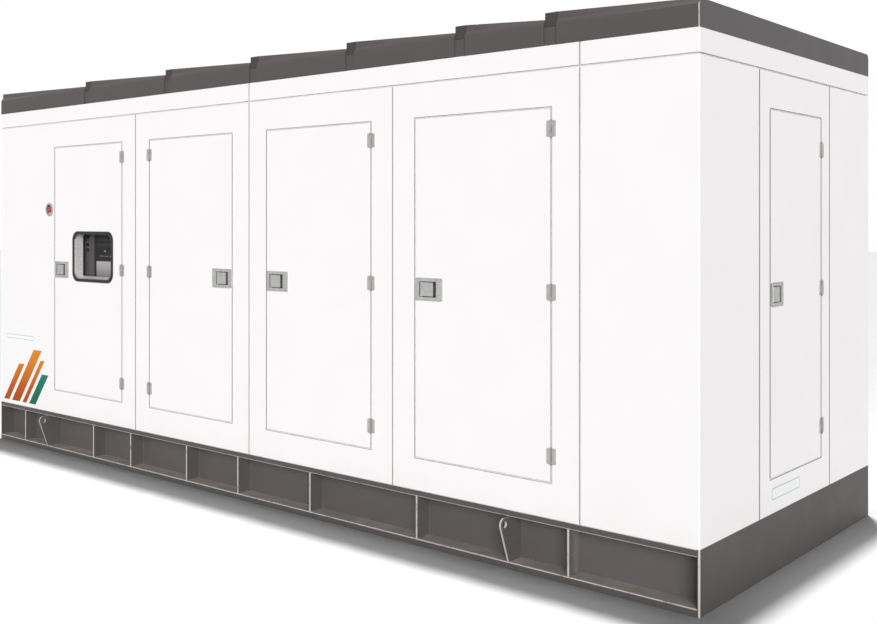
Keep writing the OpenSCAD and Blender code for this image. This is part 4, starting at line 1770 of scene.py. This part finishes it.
@dataclass
class DoorLeaves:
    """Door leaves with their seals."""

    edge_round: float = 1 * MM
    gap_shade_reach: float = 3 * MM  # how far from a leaf's edge its painted gap shade is looked for
    gap_shade_depth: float = 4 * MM
    gap: float = 8 * MM
    seal_play: float = 0.6 * MM  # slack between the edge seal and the leaf
    seal_near: float = 5 * MM  # depths of the edge seal's face and back
    seal_far: float = 20 * MM
    leaf_depth: float = 50 * MM
    stop_gap: float = 6 * MM  # space between a shut leaf and its stop
    bulb_radius: float = 2.7 * MM
    bulb_inset: float = 22 * MM  # distance of the stop's seal inside the hole's edge

    FINISHES = (Finishes.SIDE_WHITE, Finishes.LINER, Finishes.GAP_SHADE)
    LINER, GAP_SHADE = 1, 2  # indices of the finishes

    def build(self, places: Sequence[DoorPlace]) -> None:
        """Make the leaves and seals.

        Args:
            places: All the doors.
        """
        for name in MOVING_DOORS:
            self.leaf(name, name, [place for place in places if place.body == name])
        self.leaf("fixed_doors", ROOT, [place for place in places if place.body == ROOT])
        self.edge_seals(places)
        self.bulb_seals(places)

    def leaf(self, node: str, body: str, places: Sequence[DoorPlace]) -> None:
        """Make one node's leaves, white outside with a perforated liner inside.

        Args:
            node: CAD node.
            body: CAD body that it rides on.
            places: The doors that the node holds.
        """
        mesh = node_mesh(node)
        at_edge = beside_door(places, self.gap_shade_reach)
        # The leaf's edges and rims get painted shade.
        bevel(mesh, self.edge_round, lambda m: on_skin(m) and at_edge(m), 1, SQUARE, self.GAP_SHADE)
        cut_rims(mesh, self.gap_shade_depth)
        paint_rims(mesh, self.GAP_SHADE, self.gap_shade_depth, at_edge)
        paint(mesh, self.LINER, inner_sheet(self.leaf_depth))
        finished(f"{node}_leaf", mesh, self.FINISHES, (node,), body)

    def edge_seals(self, places: Sequence[DoorPlace]) -> None:
        """Line every door's hole with a seal that closes the gap round the leaf, painted pale
        as painted light in the gap's shade.

        Args:
            places: All the doors.
        """
        mesh = bmesh.new()
        for place in places:
            part = bmesh.new()
            add_ring(part, rectangle(place.box, -self.gap),
                     rectangle(place.box, -self.seal_play), self.seal_near, self.seal_far)
            append_placed(mesh, part, place.turn)
        finished("door_edge_seals", mesh, (Finishes.EDGE_SEAL_LIGHT,), smooth=False)

    def bulb_seals(self, places: Sequence[DoorPlace]) -> None:
        """Run a round black seal over the stop behind every leaf.

        Args:
            places: All the doors.
        """
        depth = self.leaf_depth + self.stop_gap - self.bulb_radius
        loops = [
            [
                place.turn @ Vector((x, depth, z))
                for x, z in rectangle(place.box, self.bulb_inset - self.gap)
            ]
            for place in places
        ]
        carrier = lines_carrier(loops, True)
        mesh = SweptSeal().baked(carrier, Finishes.BULB_SEAL, Radius=self.bulb_radius)
        bmesh.ops.recalc_face_normals(mesh, faces=mesh.faces)
        finished("door_bulb_seals", mesh, (Finishes.BULB_SEAL,))


@dataclass
class Hardware:
    """Hinges, latches and paddles of satin zinc, with their screws.

    A pair of values is for the side walls and the end walls. A pair of levels is the
    distance of the outer hinges from a door's foot and top.
    """

    edge_round: float = 0.8 * MM
    screw_radius: float = 3.4 * MM
    screw_height: float = 0.9 * MM
    leaf_screw_x: float = 18 * MM  # from the pin
    leaf_screw_z: float = 27 * MM  # from the leaf's middle
    leaf_reach: float = 34 * MM
    leaf_thick: float = 4 * MM
    plate_screw_inset: float = 8.5 * MM
    plate_widths: Pair = (195 * MM, 145 * MM)
    plate_height: float = 128 * MM
    plate_inset: float = 5 * MM  # from the door's edge
    plate_thick: float = 8 * MM
    latch_height: float = 957 * MM  # of a latch's middle above the door's foot
    side_levels: Pair = (133 * MM, 105 * MM)
    end_levels: Pair = (176 * MM, 176 * MM)
    gap: float = 8 * MM
    knuckle_radius: float = 5.3 * MM
    pin_out: float = 5.5 * MM  # distance of the pin in front of the wall
    skin: float = 0.5 * MM  # deeper than this is in the tray
    proud: float = 0.2 * MM  # further out than this is rounded

    FINISHES = (Finishes.HARDWARE, Finishes.KNUCKLE_SHADE, Finishes.TRAY_SHADE, Finishes.HINGE)
    KNUCKLE_SHADE, TRAY_SHADE, HINGE = 1, 2, 3  # indices of the finishes

    def build(self, places: Sequence[DoorPlace]) -> None:
        """Make every hinge half, latch, paddle and screw.

        Args:
            places: All the doors.
        """
        for name in MOVING_DOORS:
            self.plates(f"{name}_hardware", name, places)
            self.metal(node_mesh(f"{name}_paddle"), f"{name}_paddle", f"{name}_paddle")
        self.plates("hinge_leaves", ROOT, places)
        self.plates("fixed_door_hardware", ROOT, places)
        self.screws(places)

    def pin(self, place: DoorPlace) -> float:
        """Return where a door's hinge pins are along its wall."""
        return place.centre + place.hinge.value * (place.width + self.gap) / 2

    def plates(self, node: str, body: str, places: Sequence[DoorPlace]) -> None:
        """Make one node's hinge leaves and latch plates, with knuckles and tray painted darker
        as painted shade.

        Args:
            node: CAD node.
            body: CAD body that it rides on.
            places: All the doors.
        """
        mesh = node_mesh(node)
        known = [(place.turn.inverted(), self.pin(place)) for place in places]

        def from_pin(point: Vector) -> Pair:
            """Find the nearest pin of the point's wall.

            Args:
                point: Point of the row frame.

            Returns:
                Its distance, straight and then along the wall.
            """
            local = [(turn @ point, pin) for turn, pin in known]
            near = [
                (math.hypot(spot.x - pin, spot.y + self.pin_out), abs(spot.x - pin))
                for spot, pin in local
                if abs(spot.y) < SHELL.wall
            ]
            return min(near, default=(1.0, 1.0))

        def hinge(centre: Vector, normal: Vector) -> bool:
            """Say whether a face is a hinge's."""
            return from_pin(centre)[1] < self.leaf_reach and SHELL.depth(centre) < self.skin

        paint(mesh, self.HINGE, hinge)
        # Knuckles and trays are painted darker: painted shade.
        paint(mesh, self.KNUCKLE_SHADE,
              lambda centre, normal: from_pin(centre)[0] < self.knuckle_radius)
        paint(mesh, self.TRAY_SHADE, lambda centre, normal: SHELL.depth(centre) > self.skin)
        self.metal(mesh, node, body)

    def metal(self, mesh: BMesh, node: str, body: str) -> None:
        """Round what stands proud of the wall and finish the piece."""
        bevel(mesh, self.edge_round, lambda m: SHELL.depth(m) < -self.proud, turn=STEEP)
        finished(f"{node}_metal", mesh, self.FINISHES, (node,), body)

    def spots(self, place: DoorPlace, xs: Iterable[float], zs: Iterable[float],
              thick: float) -> Spots:
        """Return screws on a wall at every pair of a place along it and a height."""
        out = place.turn.to_3x3() @ Vector((0, -1, 0))
        return [(place.turn @ Vector((x, -thick, z)), out) for x in xs for z in zs]

    def leaf_spots(self, place: DoorPlace, side: int) -> Spots:
        """Return the screws of a door's hinge leaves.

        Args:
            place: The door.
            side: -1 for the leaves on the door, 1 for those on the wall.

        Returns:
            Place and facing of each screw.
        """
        x = self.pin(place) + side * place.hinge.value * self.leaf_screw_x
        above, below = self.side_levels if place.wall.is_side else self.end_levels
        low, high = place.foot + above, place.top - below
        levels = [
            level + step
            for level in (low, (low + high) / 2, high)
            for step in (-self.leaf_screw_z, self.leaf_screw_z)
        ]
        return self.spots(place, (x,), levels, self.leaf_thick)

    def plate_spots(self, place: DoorPlace) -> Spots:
        """Return the four screws of a door's latch plate.

        Args:
            place: The door.

        Returns:
            Place and facing of each screw.
        """
        width = self.plate_widths[0 if place.wall.is_side else 1]
        reach = place.width / 2 - self.plate_inset - width / 2
        middle = place.centre - place.hinge.value * reach
        level = place.foot + self.latch_height
        dx = width / 2 - self.plate_screw_inset
        dz = self.plate_height / 2 - self.plate_screw_inset
        return self.spots(place, (middle - dx, middle + dx), (level - dz, level + dz),
                          self.plate_thick)

    def screws(self, places: Sequence[DoorPlace]) -> None:
        """Set the screws, in one piece for each body.

        Args:
            places: All the doors.
        """
        maker = ScrewHeads()
        spots: dict[str, Spots] = {}
        for place in places:
            spots.setdefault(ROOT, []).extend(self.leaf_spots(place, 1))
            own = self.leaf_spots(place, -1) + self.plate_spots(place)
            spots.setdefault(place.body, []).extend(own)
        for body, found in spots.items():
            mesh = maker.baked(points_carrier(found), Finishes.SCREW,
                               Radius=self.screw_radius, Height=self.screw_height)
            finished(f"{body}_screws", mesh, (Finishes.SCREW,), body=body)


@dataclass
class ControlWindow:
    """Window in the control door: gasket, pane and lining.

    The gasket is a lip on the door, with fuller corners than the plain CAD one, and a
    sleeve through its hole.
    """

    outer_radius: float = 70 * MM
    inner_radius: float = 58 * MM
    face_width: float = 24 * MM
    lip: float = 14 * MM
    hole_radius: float = 31 * MM
    lining_thick: float = 3 * MM
    play: float = 0.2 * MM
    edge_round: float = 2.2 * MM
    edge_steps: int = 3
    steps: int = 9  # round each corner

    def build(self) -> None:
        """Make the gasket and lining and dress the pane."""
        low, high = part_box("window_gasket")

        def outline(inset: float, radius: float) -> Outline:
            """Draw a rounded outline inside the gasket's box.

            Args:
                inset: Its distance inside the box.
                radius: Radius of its corners.

            Returns:
                The outline.
            """
            centre = ((low.x + high.x) / 2, (low.z + high.z) / 2)
            size = (high.x - low.x - 2 * inset, high.z - low.z - 2 * inset)
            return rounded(centre, size, radius, self.steps)

        face = -SHELL.half_width
        gasket = bmesh.new()
        add_ring(gasket, outline(0.0, self.outer_radius),
                 outline(self.face_width, self.inner_radius), low.y, face)
        bevel(gasket, self.edge_round, lambda m: m.y < low.y + MM, self.edge_steps, SQUARE)
        lining_edge = self.face_width - self.lining_thick - self.play
        add_ring(gasket, outline(self.lip + self.play, self.hole_radius),
                 outline(lining_edge, self.hole_radius - lining_edge + self.lip),
                 face, high.y)
        finished("window_gasket_rubber", gasket, (Finishes.GASKET,),
                 ("window_gasket",), "control_door")
        finished("window_lining_sheet", node_mesh("window_lining"), (Finishes.LINING,),
                 ("window_lining",), "control_door")
        dress_node("window_pane", Finishes.GLASS)


@dataclass
class ControlPanel:
    """Cabinet and instrument panel behind the window.

    Places are from the middle of the instrument panel's face, x to the right and z up. A
    box is low x, low z, high x and high z. A depth below zero stands off the plate.
    """

    cabinet_round: float = 3 * MM
    plate_round: float = 1.2 * MM
    fascia: Box = (-135 * MM, -175 * MM, 262 * MM, 205 * MM)
    fascia_rise: float = 8 * MM
    fascia_radius: float = 14 * MM
    fascia_round: float = 2 * MM
    fascia_steps: int = 3
    root: float = MM  # how far small pieces reach into what they stand on
    display: Box = (-103 * MM, -162 * MM, 140 * MM, -37 * MM)
    display_rise: float = 0.6 * MM
    small: tuple[float, int] = (1.5 * MM, 3)  # radius and steps of small corners
    rim_width: float = 8 * MM
    rim_rise: float = 1.5 * MM
    lamp_xs: tuple[float, ...] = (-0.048, -0.021, 0.006, 0.033, 0.061, 0.088, 0.115)
    lamp_z: float = 2.6 * MM
    lamp_finishes: tuple[int, ...] = (2, 2, 3, 2, 4, 2, 3)
    lamp_profile: tuple[Pair, ...] = ((4.2, 1.0), (4.2, -1.2), (2.6, -2.0))  # in mm
    lamp_sides: int = 12
    key_rows: int = 2
    key_columns: int = 6
    key_start: Pair = (-60 * MM, 90 * MM)
    key_pitch: Pair = (36 * MM, 40 * MM)
    key_size: Pair = (22 * MM, 18 * MM)
    key_radius: float = 4 * MM
    key_steps: int = 4
    key_rise: float = 1.4 * MM
    key_round: float = 0.5 * MM
    mark: Pair = (13 * MM, 42 * MM)
    mark_size: Pair = (16 * MM, 8 * MM)
    mark_rise: float = 0.4 * MM
    switch_x: float = -236 * MM
    switch_zs: tuple[float, ...] = (146.5 * MM, 92 * MM, 49.7 * MM)
    switch_profile: tuple[Pair, ...] = (
        (15.0, 0.0), (15.0, -3.0), (11.0, -4.5), (10.0, -13.0), (8.5, -14.5)
    )  # in mm
    switch_sides: int = 28
    grip_size: Pair = (6 * MM, 19 * MM)
    grip_corner: tuple[float, int] = (2.5 * MM, 3)  # radius and steps, here and below
    grip_depths: Pair = (-19 * MM, -14 * MM)
    line_size: Pair = (1.6 * MM, 6 * MM)
    line_corner: tuple[float, int] = (0.7 * MM, 2)
    line_lift: float = 6 * MM
    line_depths: Pair = (-19.3 * MM, -18.5 * MM)
    tick_size: Pair = (2.4 * MM, 2.4 * MM)
    tick_corner: tuple[float, int] = (1.1 * MM, 2)
    tick_reach: float = 19 * MM
    tick_angles: tuple[int, ...] = (30, 50, 70, 90, 110, 130, 150)
    tick_depths: Pair = (-0.3 * MM, 0.5 * MM)

    GLASS, PALE, DARK = 1, 2, 5  # indices of the controller's finishes
    LINES = 1  # and of the switches'

    def build(self) -> None:
        """Make the cabinet, the plate and everything on it."""
        cabinet = node_mesh("control_cabinet")
        bevel(cabinet, self.cabinet_round, turn=SQUARE)
        finished("control_cabinet_steel", cabinet, (Finishes.CABINET,),
                 ("control_cabinet",))
        plate = node_mesh("instrument_panel")
        bevel(plate, self.plate_round, turn=SQUARE)
        finished("instrument_plate", plate, (Finishes.PLATE,),
                 ("instrument_panel",))
        low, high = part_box("instrument_panel")
        middle = Vector(((low.x + high.x) / 2, low.y, (low.z + high.z) / 2))
        self.controller(middle)
        self.switches(middle)

    def controller(self, middle: Vector) -> None:
        """Make the controller: moulded front, display, lamps, keys and a plain mark.

        Args:
            middle: Middle of the instrument panel's face.
        """
        mesh = bmesh.new()
        front = -self.fascia_rise

        def pad(target: BMesh, centre: Pair, size: Pair, radius: float, steps: int,
                rise: float, index: int) -> None:
            """Add a rounded pad that rises from the controller's front."""
            outline = rounded(centre, size, radius, steps)
            add_prism(target, outline, front - rise, front + self.root, index)

        x0, z0, x1, z1 = self.fascia
        outline = rounded(((x0 + x1) / 2, (z0 + z1) / 2), (x1 - x0, z1 - z0),
                          self.fascia_radius)
        add_prism(mesh, outline, front, 0.0)
        bevel(mesh, self.fascia_round, lambda m: m.y < front + MM, self.fascia_steps,
              SQUARE)
        add_ring(mesh, rectangle(self.display, -self.rim_width), rectangle(self.display),
                 front - self.rim_rise, front + self.root)
        x0, z0, x1, z1 = self.display
        pad(mesh, ((x0 + x1) / 2, (z0 + z1) / 2), (x1 - x0, z1 - z0), *self.small,
            self.display_rise, self.GLASS)
        lamp = [(radius * MM, front + depth * MM) for radius, depth in self.lamp_profile]
        for x, finish in zip(self.lamp_xs, self.lamp_finishes):
            add_turned(mesh, (x, self.lamp_z), lamp, finish, self.lamp_sides)
        for row in range(self.key_rows):
            for column in range(self.key_columns):
                key = bmesh.new()
                spot = (self.key_start[0] + column * self.key_pitch[0],
                        self.key_start[1] + row * self.key_pitch[1])
                pad(key, spot, self.key_size, self.key_radius, self.key_steps,
                    self.key_rise, self.DARK)
                bevel(key, self.key_round, lambda m: m.y < front, turn=SQUARE)
                append_placed(mesh, key, Matrix.Identity(4))
        pad(mesh, self.mark, self.mark_size, *self.small, self.mark_rise, self.PALE)
        # Paler at the top and darker at the foot: painted light.
        display = DisplayGlass("display_glass", "#b2b2b2", 0.3, far_colour="#7c7c7b",
                               low=middle.z + z0, high=middle.z + z1)
        bmesh.ops.translate(mesh, verts=mesh.verts, vec=middle)
        finished("controller", mesh,
                 (Finishes.FASCIA, display, Finishes.MARK, Finishes.GREEN_LENS,
                  Finishes.AMBER_LENS, Finishes.KNOB))

    def switches(self, middle: Vector) -> None:
        """Make the column of rotary switches, each with a line and a scale of ticks.

        Args:
            middle: Middle of the instrument panel's face.
        """
        mesh = bmesh.new()
        knob = [(radius * MM, depth * MM) for radius, depth in self.switch_profile]
        turns = [math.radians(angle) for angle in self.tick_angles]
        for z in self.switch_zs:
            centre = (self.switch_x, z)
            add_turned(mesh, centre, knob, 0, self.switch_sides)
            grip = rounded(centre, self.grip_size, *self.grip_corner)
            add_prism(mesh, grip, *self.grip_depths)
            spot = (self.switch_x, z + self.line_lift)
            line = rounded(spot, self.line_size, *self.line_corner)
            add_prism(mesh, line, *self.line_depths, self.LINES)
            for tick in arc(centre, self.tick_reach, turns):
                dot = rounded(tick, self.tick_size, *self.tick_corner)
                add_prism(mesh, dot, *self.tick_depths, self.LINES)
        bmesh.ops.translate(mesh, verts=mesh.verts, vec=middle)
        finished("panel_switches", mesh, (Finishes.KNOB, Finishes.MARK))


@dataclass
class EmergencyStop:
    """Emergency stop: grey collar, cup in painted shade, yellow legend and a red button."""

    cup_radius: float = 38 * MM
    button_round: float = 2.2 * MM
    button_steps: int = 3
    button_turn: float = 30.0  # degrees
    legend_inner: float = 25 * MM
    legend_outer: float = 37.8 * MM
    legend_depth: float = 2 * MM  # of its face in the wall
    legend_thick: float = 1.5 * MM
    legend_arc: Pair = (-120.0, -60.0)
    legend_steps: int = 16

    CUP, LEGEND = 1, 2  # indices of the finishes that follow the collar's

    def build(self) -> None:
        """Make the collar, the legend in its cup and the button."""
        collar = node_mesh("emergency_stop_collar")
        low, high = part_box("emergency_stop_collar")
        x, z = (low.x + high.x) / 2, (low.z + high.z) / 2

        def in_cup(middle: Vector, normal: Vector) -> bool:
            """Say whether a face lies in the cup."""
            away = math.hypot(middle.x - x, middle.z - z)
            return away < self.cup_radius + MM and middle.y > low.y + MM

        # The cup is painted darker: painted shade.
        paint(collar, self.CUP, in_cup)
        append_placed(collar, self.legend(),
                      SHELL.placement(Wall.FRONT) @ Matrix.Translation((x, 0, z)))
        finished("emergency_stop_plate", collar,
                 (Finishes.STOP_PLATE, Finishes.STOP_CUP, Finishes.STOP_YELLOW),
                 ("emergency_stop_collar",))
        button = node_mesh("emergency_stop_button")
        bevel(button, self.button_round, None, self.button_steps, self.button_turn)
        finished("emergency_stop_mushroom", button, (Finishes.STOP_RED,),
                 ("emergency_stop_button",), "emergency_stop_button")

    def legend(self) -> BMesh:
        """Draw the crescent of legend plate below the button.

        Returns:
            The plate, in its own frame.
        """
        first, last = (math.radians(angle) for angle in self.legend_arc)
        step = (last - first) / self.legend_steps
        turns = [first + step * i for i in range(self.legend_steps + 1)]
        part = bmesh.new()
        outline = arc((0, 0), self.legend_outer, turns)
        outline += arc((0, 0), self.legend_inner, turns)[::-1]
        near = self.legend_depth
        add_prism(part, outline, near, near + self.legend_thick, self.LEGEND)
        return part


@dataclass
class Markings:
    """Film on the walls: slanted bars beside the control door and two blank labels."""

    film: float = 0.35 * MM
    root: float = 0.1 * MM  # how far the film reaches into the paint
    bar_foot: float = 345 * MM
    bar_lean: float = 0.78
    bars: tuple[tuple[float, float, float, int], ...] = (
        (55, 85, 660, 0), (185, 125, 790, 0), (355, 60, 710, 0), (460, 100, 600, 1)
    )  # left edge from the corner, width and top in mm, and the finish's index
    labels: tuple[tuple[Wall, Pair, Pair], ...] = (
        (Wall.FRONT, (-2906 * MM, 880 * MM), (430 * MM, 34 * MM)),
        (Wall.RIGHT, (-145 * MM, 415 * MM), (368 * MM, 60 * MM)),
    )  # wall, centre and size
    label_radius: float = 9 * MM
    field_radius: float = 6 * MM
    line: float = 3.5 * MM
    corner_steps: int = 4

    def build(self) -> None:
        """Make the bars and labels."""
        self.make_bars()
        self.make_labels()

    def make_bars(self) -> None:
        """Make three orange bars and a green one, all leaning to the right."""
        mesh = bmesh.new()
        foot = self.bar_foot
        for *sizes, finish in self.bars:
            left, width, top = (size * MM for size in sizes)
            x0 = left - SHELL.half_length
            shift = self.bar_lean * (top - foot)
            outline = [(x0, foot), (x0 + width, foot), (x0 + width + shift, top),
                       (x0 + shift, top)]
            add_prism(mesh, outline, -self.film, self.root, finish)
        bmesh.ops.transform(mesh, matrix=SHELL.placement(Wall.FRONT), verts=mesh.verts)
        finished("wall_bars", mesh, (Finishes.ORANGE, Finishes.GREEN),
                 smooth=False)

    def make_labels(self) -> None:
        """Make a blank label with a thin printed outline on the front and the end."""
        mesh = bmesh.new()
        for wall, centre, size in self.labels:
            part = bmesh.new()
            edge = rounded(centre, size, self.label_radius, self.corner_steps)
            add_prism(part, edge, -self.film, self.root, 1)
            size = (size[0] - 2 * self.line, size[1] - 2 * self.line)
            field = rounded(centre, size, self.field_radius, self.corner_steps)
            add_prism(part, field, -2 * self.film, self.root)
            append_placed(mesh, part, SHELL.placement(wall))
        finished("blank_labels", mesh, (Finishes.LABEL, Finishes.LABEL_LINE),
                 smooth=False)


# ---- studio


@dataclass
class Studio:
    """Pale floor, even light and the camera.

    A wide key lights each pair of walls. The rear one is weaker because the overhead
    light leans towards the rear.
    """

    floor_reach: float = 60.0
    floor_drop: float = 0.5 * MM
    ambient: float = 0.14
    overhead: float = 2.9
    overhead_way: tuple[float, float, float] = (0.08, -0.1, -1.0)
    overhead_spread: float = 3.0
    front_key: float = 3.5
    rear_key: float = 3.11
    key_way: Pair = (-0.645, 0.764)  # of the front key; the rear's opposite
    key_fall: float = 0.26
    key_spread: float = 34.0
    sensor: float = 36.0
    lens: float = 44.32
    shift: float = -0.10405
    clip: Pair = (0.05, 200.0)
    eye: tuple[float, float, float] = (5.531, -5.759, 1.845)
    heading: float = 40.179

    def build(self) -> None:
        """Make the floor, world, lights and camera."""
        bpy.context.scene.view_settings.view_transform = "Standard"
        self.world()
        self.lights(self.floor())
        self.camera()

    def world(self) -> None:
        """Give a white room to the camera and reflections, and soft light to surfaces."""
        room = bpy.data.worlds.new("studio")
        bpy.context.scene.world = room
        room.use_nodes = True
        tree = room.node_tree
        tree.nodes.clear()
        rays = add_node(tree, "ShaderNodeLightPath").outputs
        pair = (rays["Is Camera Ray"], rays["Is Glossy Ray"])
        direct = add_node(tree, MATH, pair, operation="MAXIMUM")
        every = (direct, rays["Is Transmission Ray"])
        seen = add_node(tree, MATH, every, operation="MAXIMUM")
        soft, white = (
            add_node(tree, "ShaderNodeBackground", (srgb("#ffffff"), strength))
            for strength in (self.ambient, 1.0)
        )
        both = add_node(tree, "ShaderNodeMixShader", (seen, soft, white))
        add_node(tree, "ShaderNodeOutputWorld", {"Surface": both})

    def floor(self) -> bpy.types.Collection:
        """Lay the floor just under the base.

        Returns:
            A collection that keeps lamps off the floor.
        """
        mesh = bmesh.new()
        bmesh.ops.create_grid(mesh, x_segments=2, y_segments=2, size=self.floor_reach)
        bmesh.ops.translate(mesh, verts=mesh.verts, vec=(0, 0, -self.floor_drop))
        floor = new_object("studio_floor", mesh)
        floor.data.materials.append(Finishes.FLOOR.material())
        unlit = bpy.data.collections.new("floor_unlit_by_keys")
        unlit.objects.link(floor)
        unlit.collection_objects[0].light_linking.link_state = "EXCLUDE"
        return unlit

    def lights(self, unlit: bpy.types.Collection) -> None:
        """Hang one overhead light and a wide key for each pair of walls.

        The keys leave the floor out, so that it keeps the object's own dark shadow.

        Args:
            unlit: Collection that keeps the keys off the floor.
        """
        self.sun("overhead", Vector(self.overhead_way), self.overhead, self.overhead_spread)
        x, y = self.key_way
        for name, strength, way in (
            ("front_right_key", self.front_key, Vector((x, y, -self.key_fall))),
            ("rear_left_key", self.rear_key, Vector((-x, -y, -self.key_fall))),
        ):
            lamp = self.sun(name, way, strength, self.key_spread)
            lamp.light_linking.receiver_collection = unlit

    def sun(self, name: str, way: Vector, strength: float, spread: float) -> Thing:
        """Add one distant light.

        Args:
            name: Light's name.
            way: Direction that its light travels in.
            strength: Its strength.
            spread: Its angular size in degrees, which softens the shadows.

        Returns:
            The lamp.
        """
        data = bpy.data.lights.new(name, "SUN")
        data.energy = strength
        data.angle = math.radians(spread)
        lamp = in_scene(name, data)
        lamp.rotation_euler = way.to_track_quat("-Z", "Y").to_euler()
        return lamp

    def camera(self) -> None:
        """Set the camera level at eye height off the right front corner."""
        data = bpy.data.cameras.new("camera")
        data.sensor_width = self.sensor
        data.lens = self.lens
        data.shift_y = self.shift
        data.clip_start, data.clip_end = self.clip
        camera = in_scene("camera", data)
        camera.location = self.eye
        camera.rotation_euler = (math.radians(90), 0, math.radians(self.heading))
        bpy.context.scene.camera = camera


def main() -> None:
    """Build the classes in order."""
    logging.basicConfig(level=logging.INFO, format="%(name)s: %(message)s")
    Studio().build()
    places = door_places()
    SkidBase().build()
    CanopyShell().build(places)
    RoofCap().build()
    DoorLeaves().build(places)
    Hardware().build(places)
    ControlWindow().build()
    ControlPanel().build()
    EmergencyStop().build()
    Markings().build()


if __name__ == "__main__":
    main()
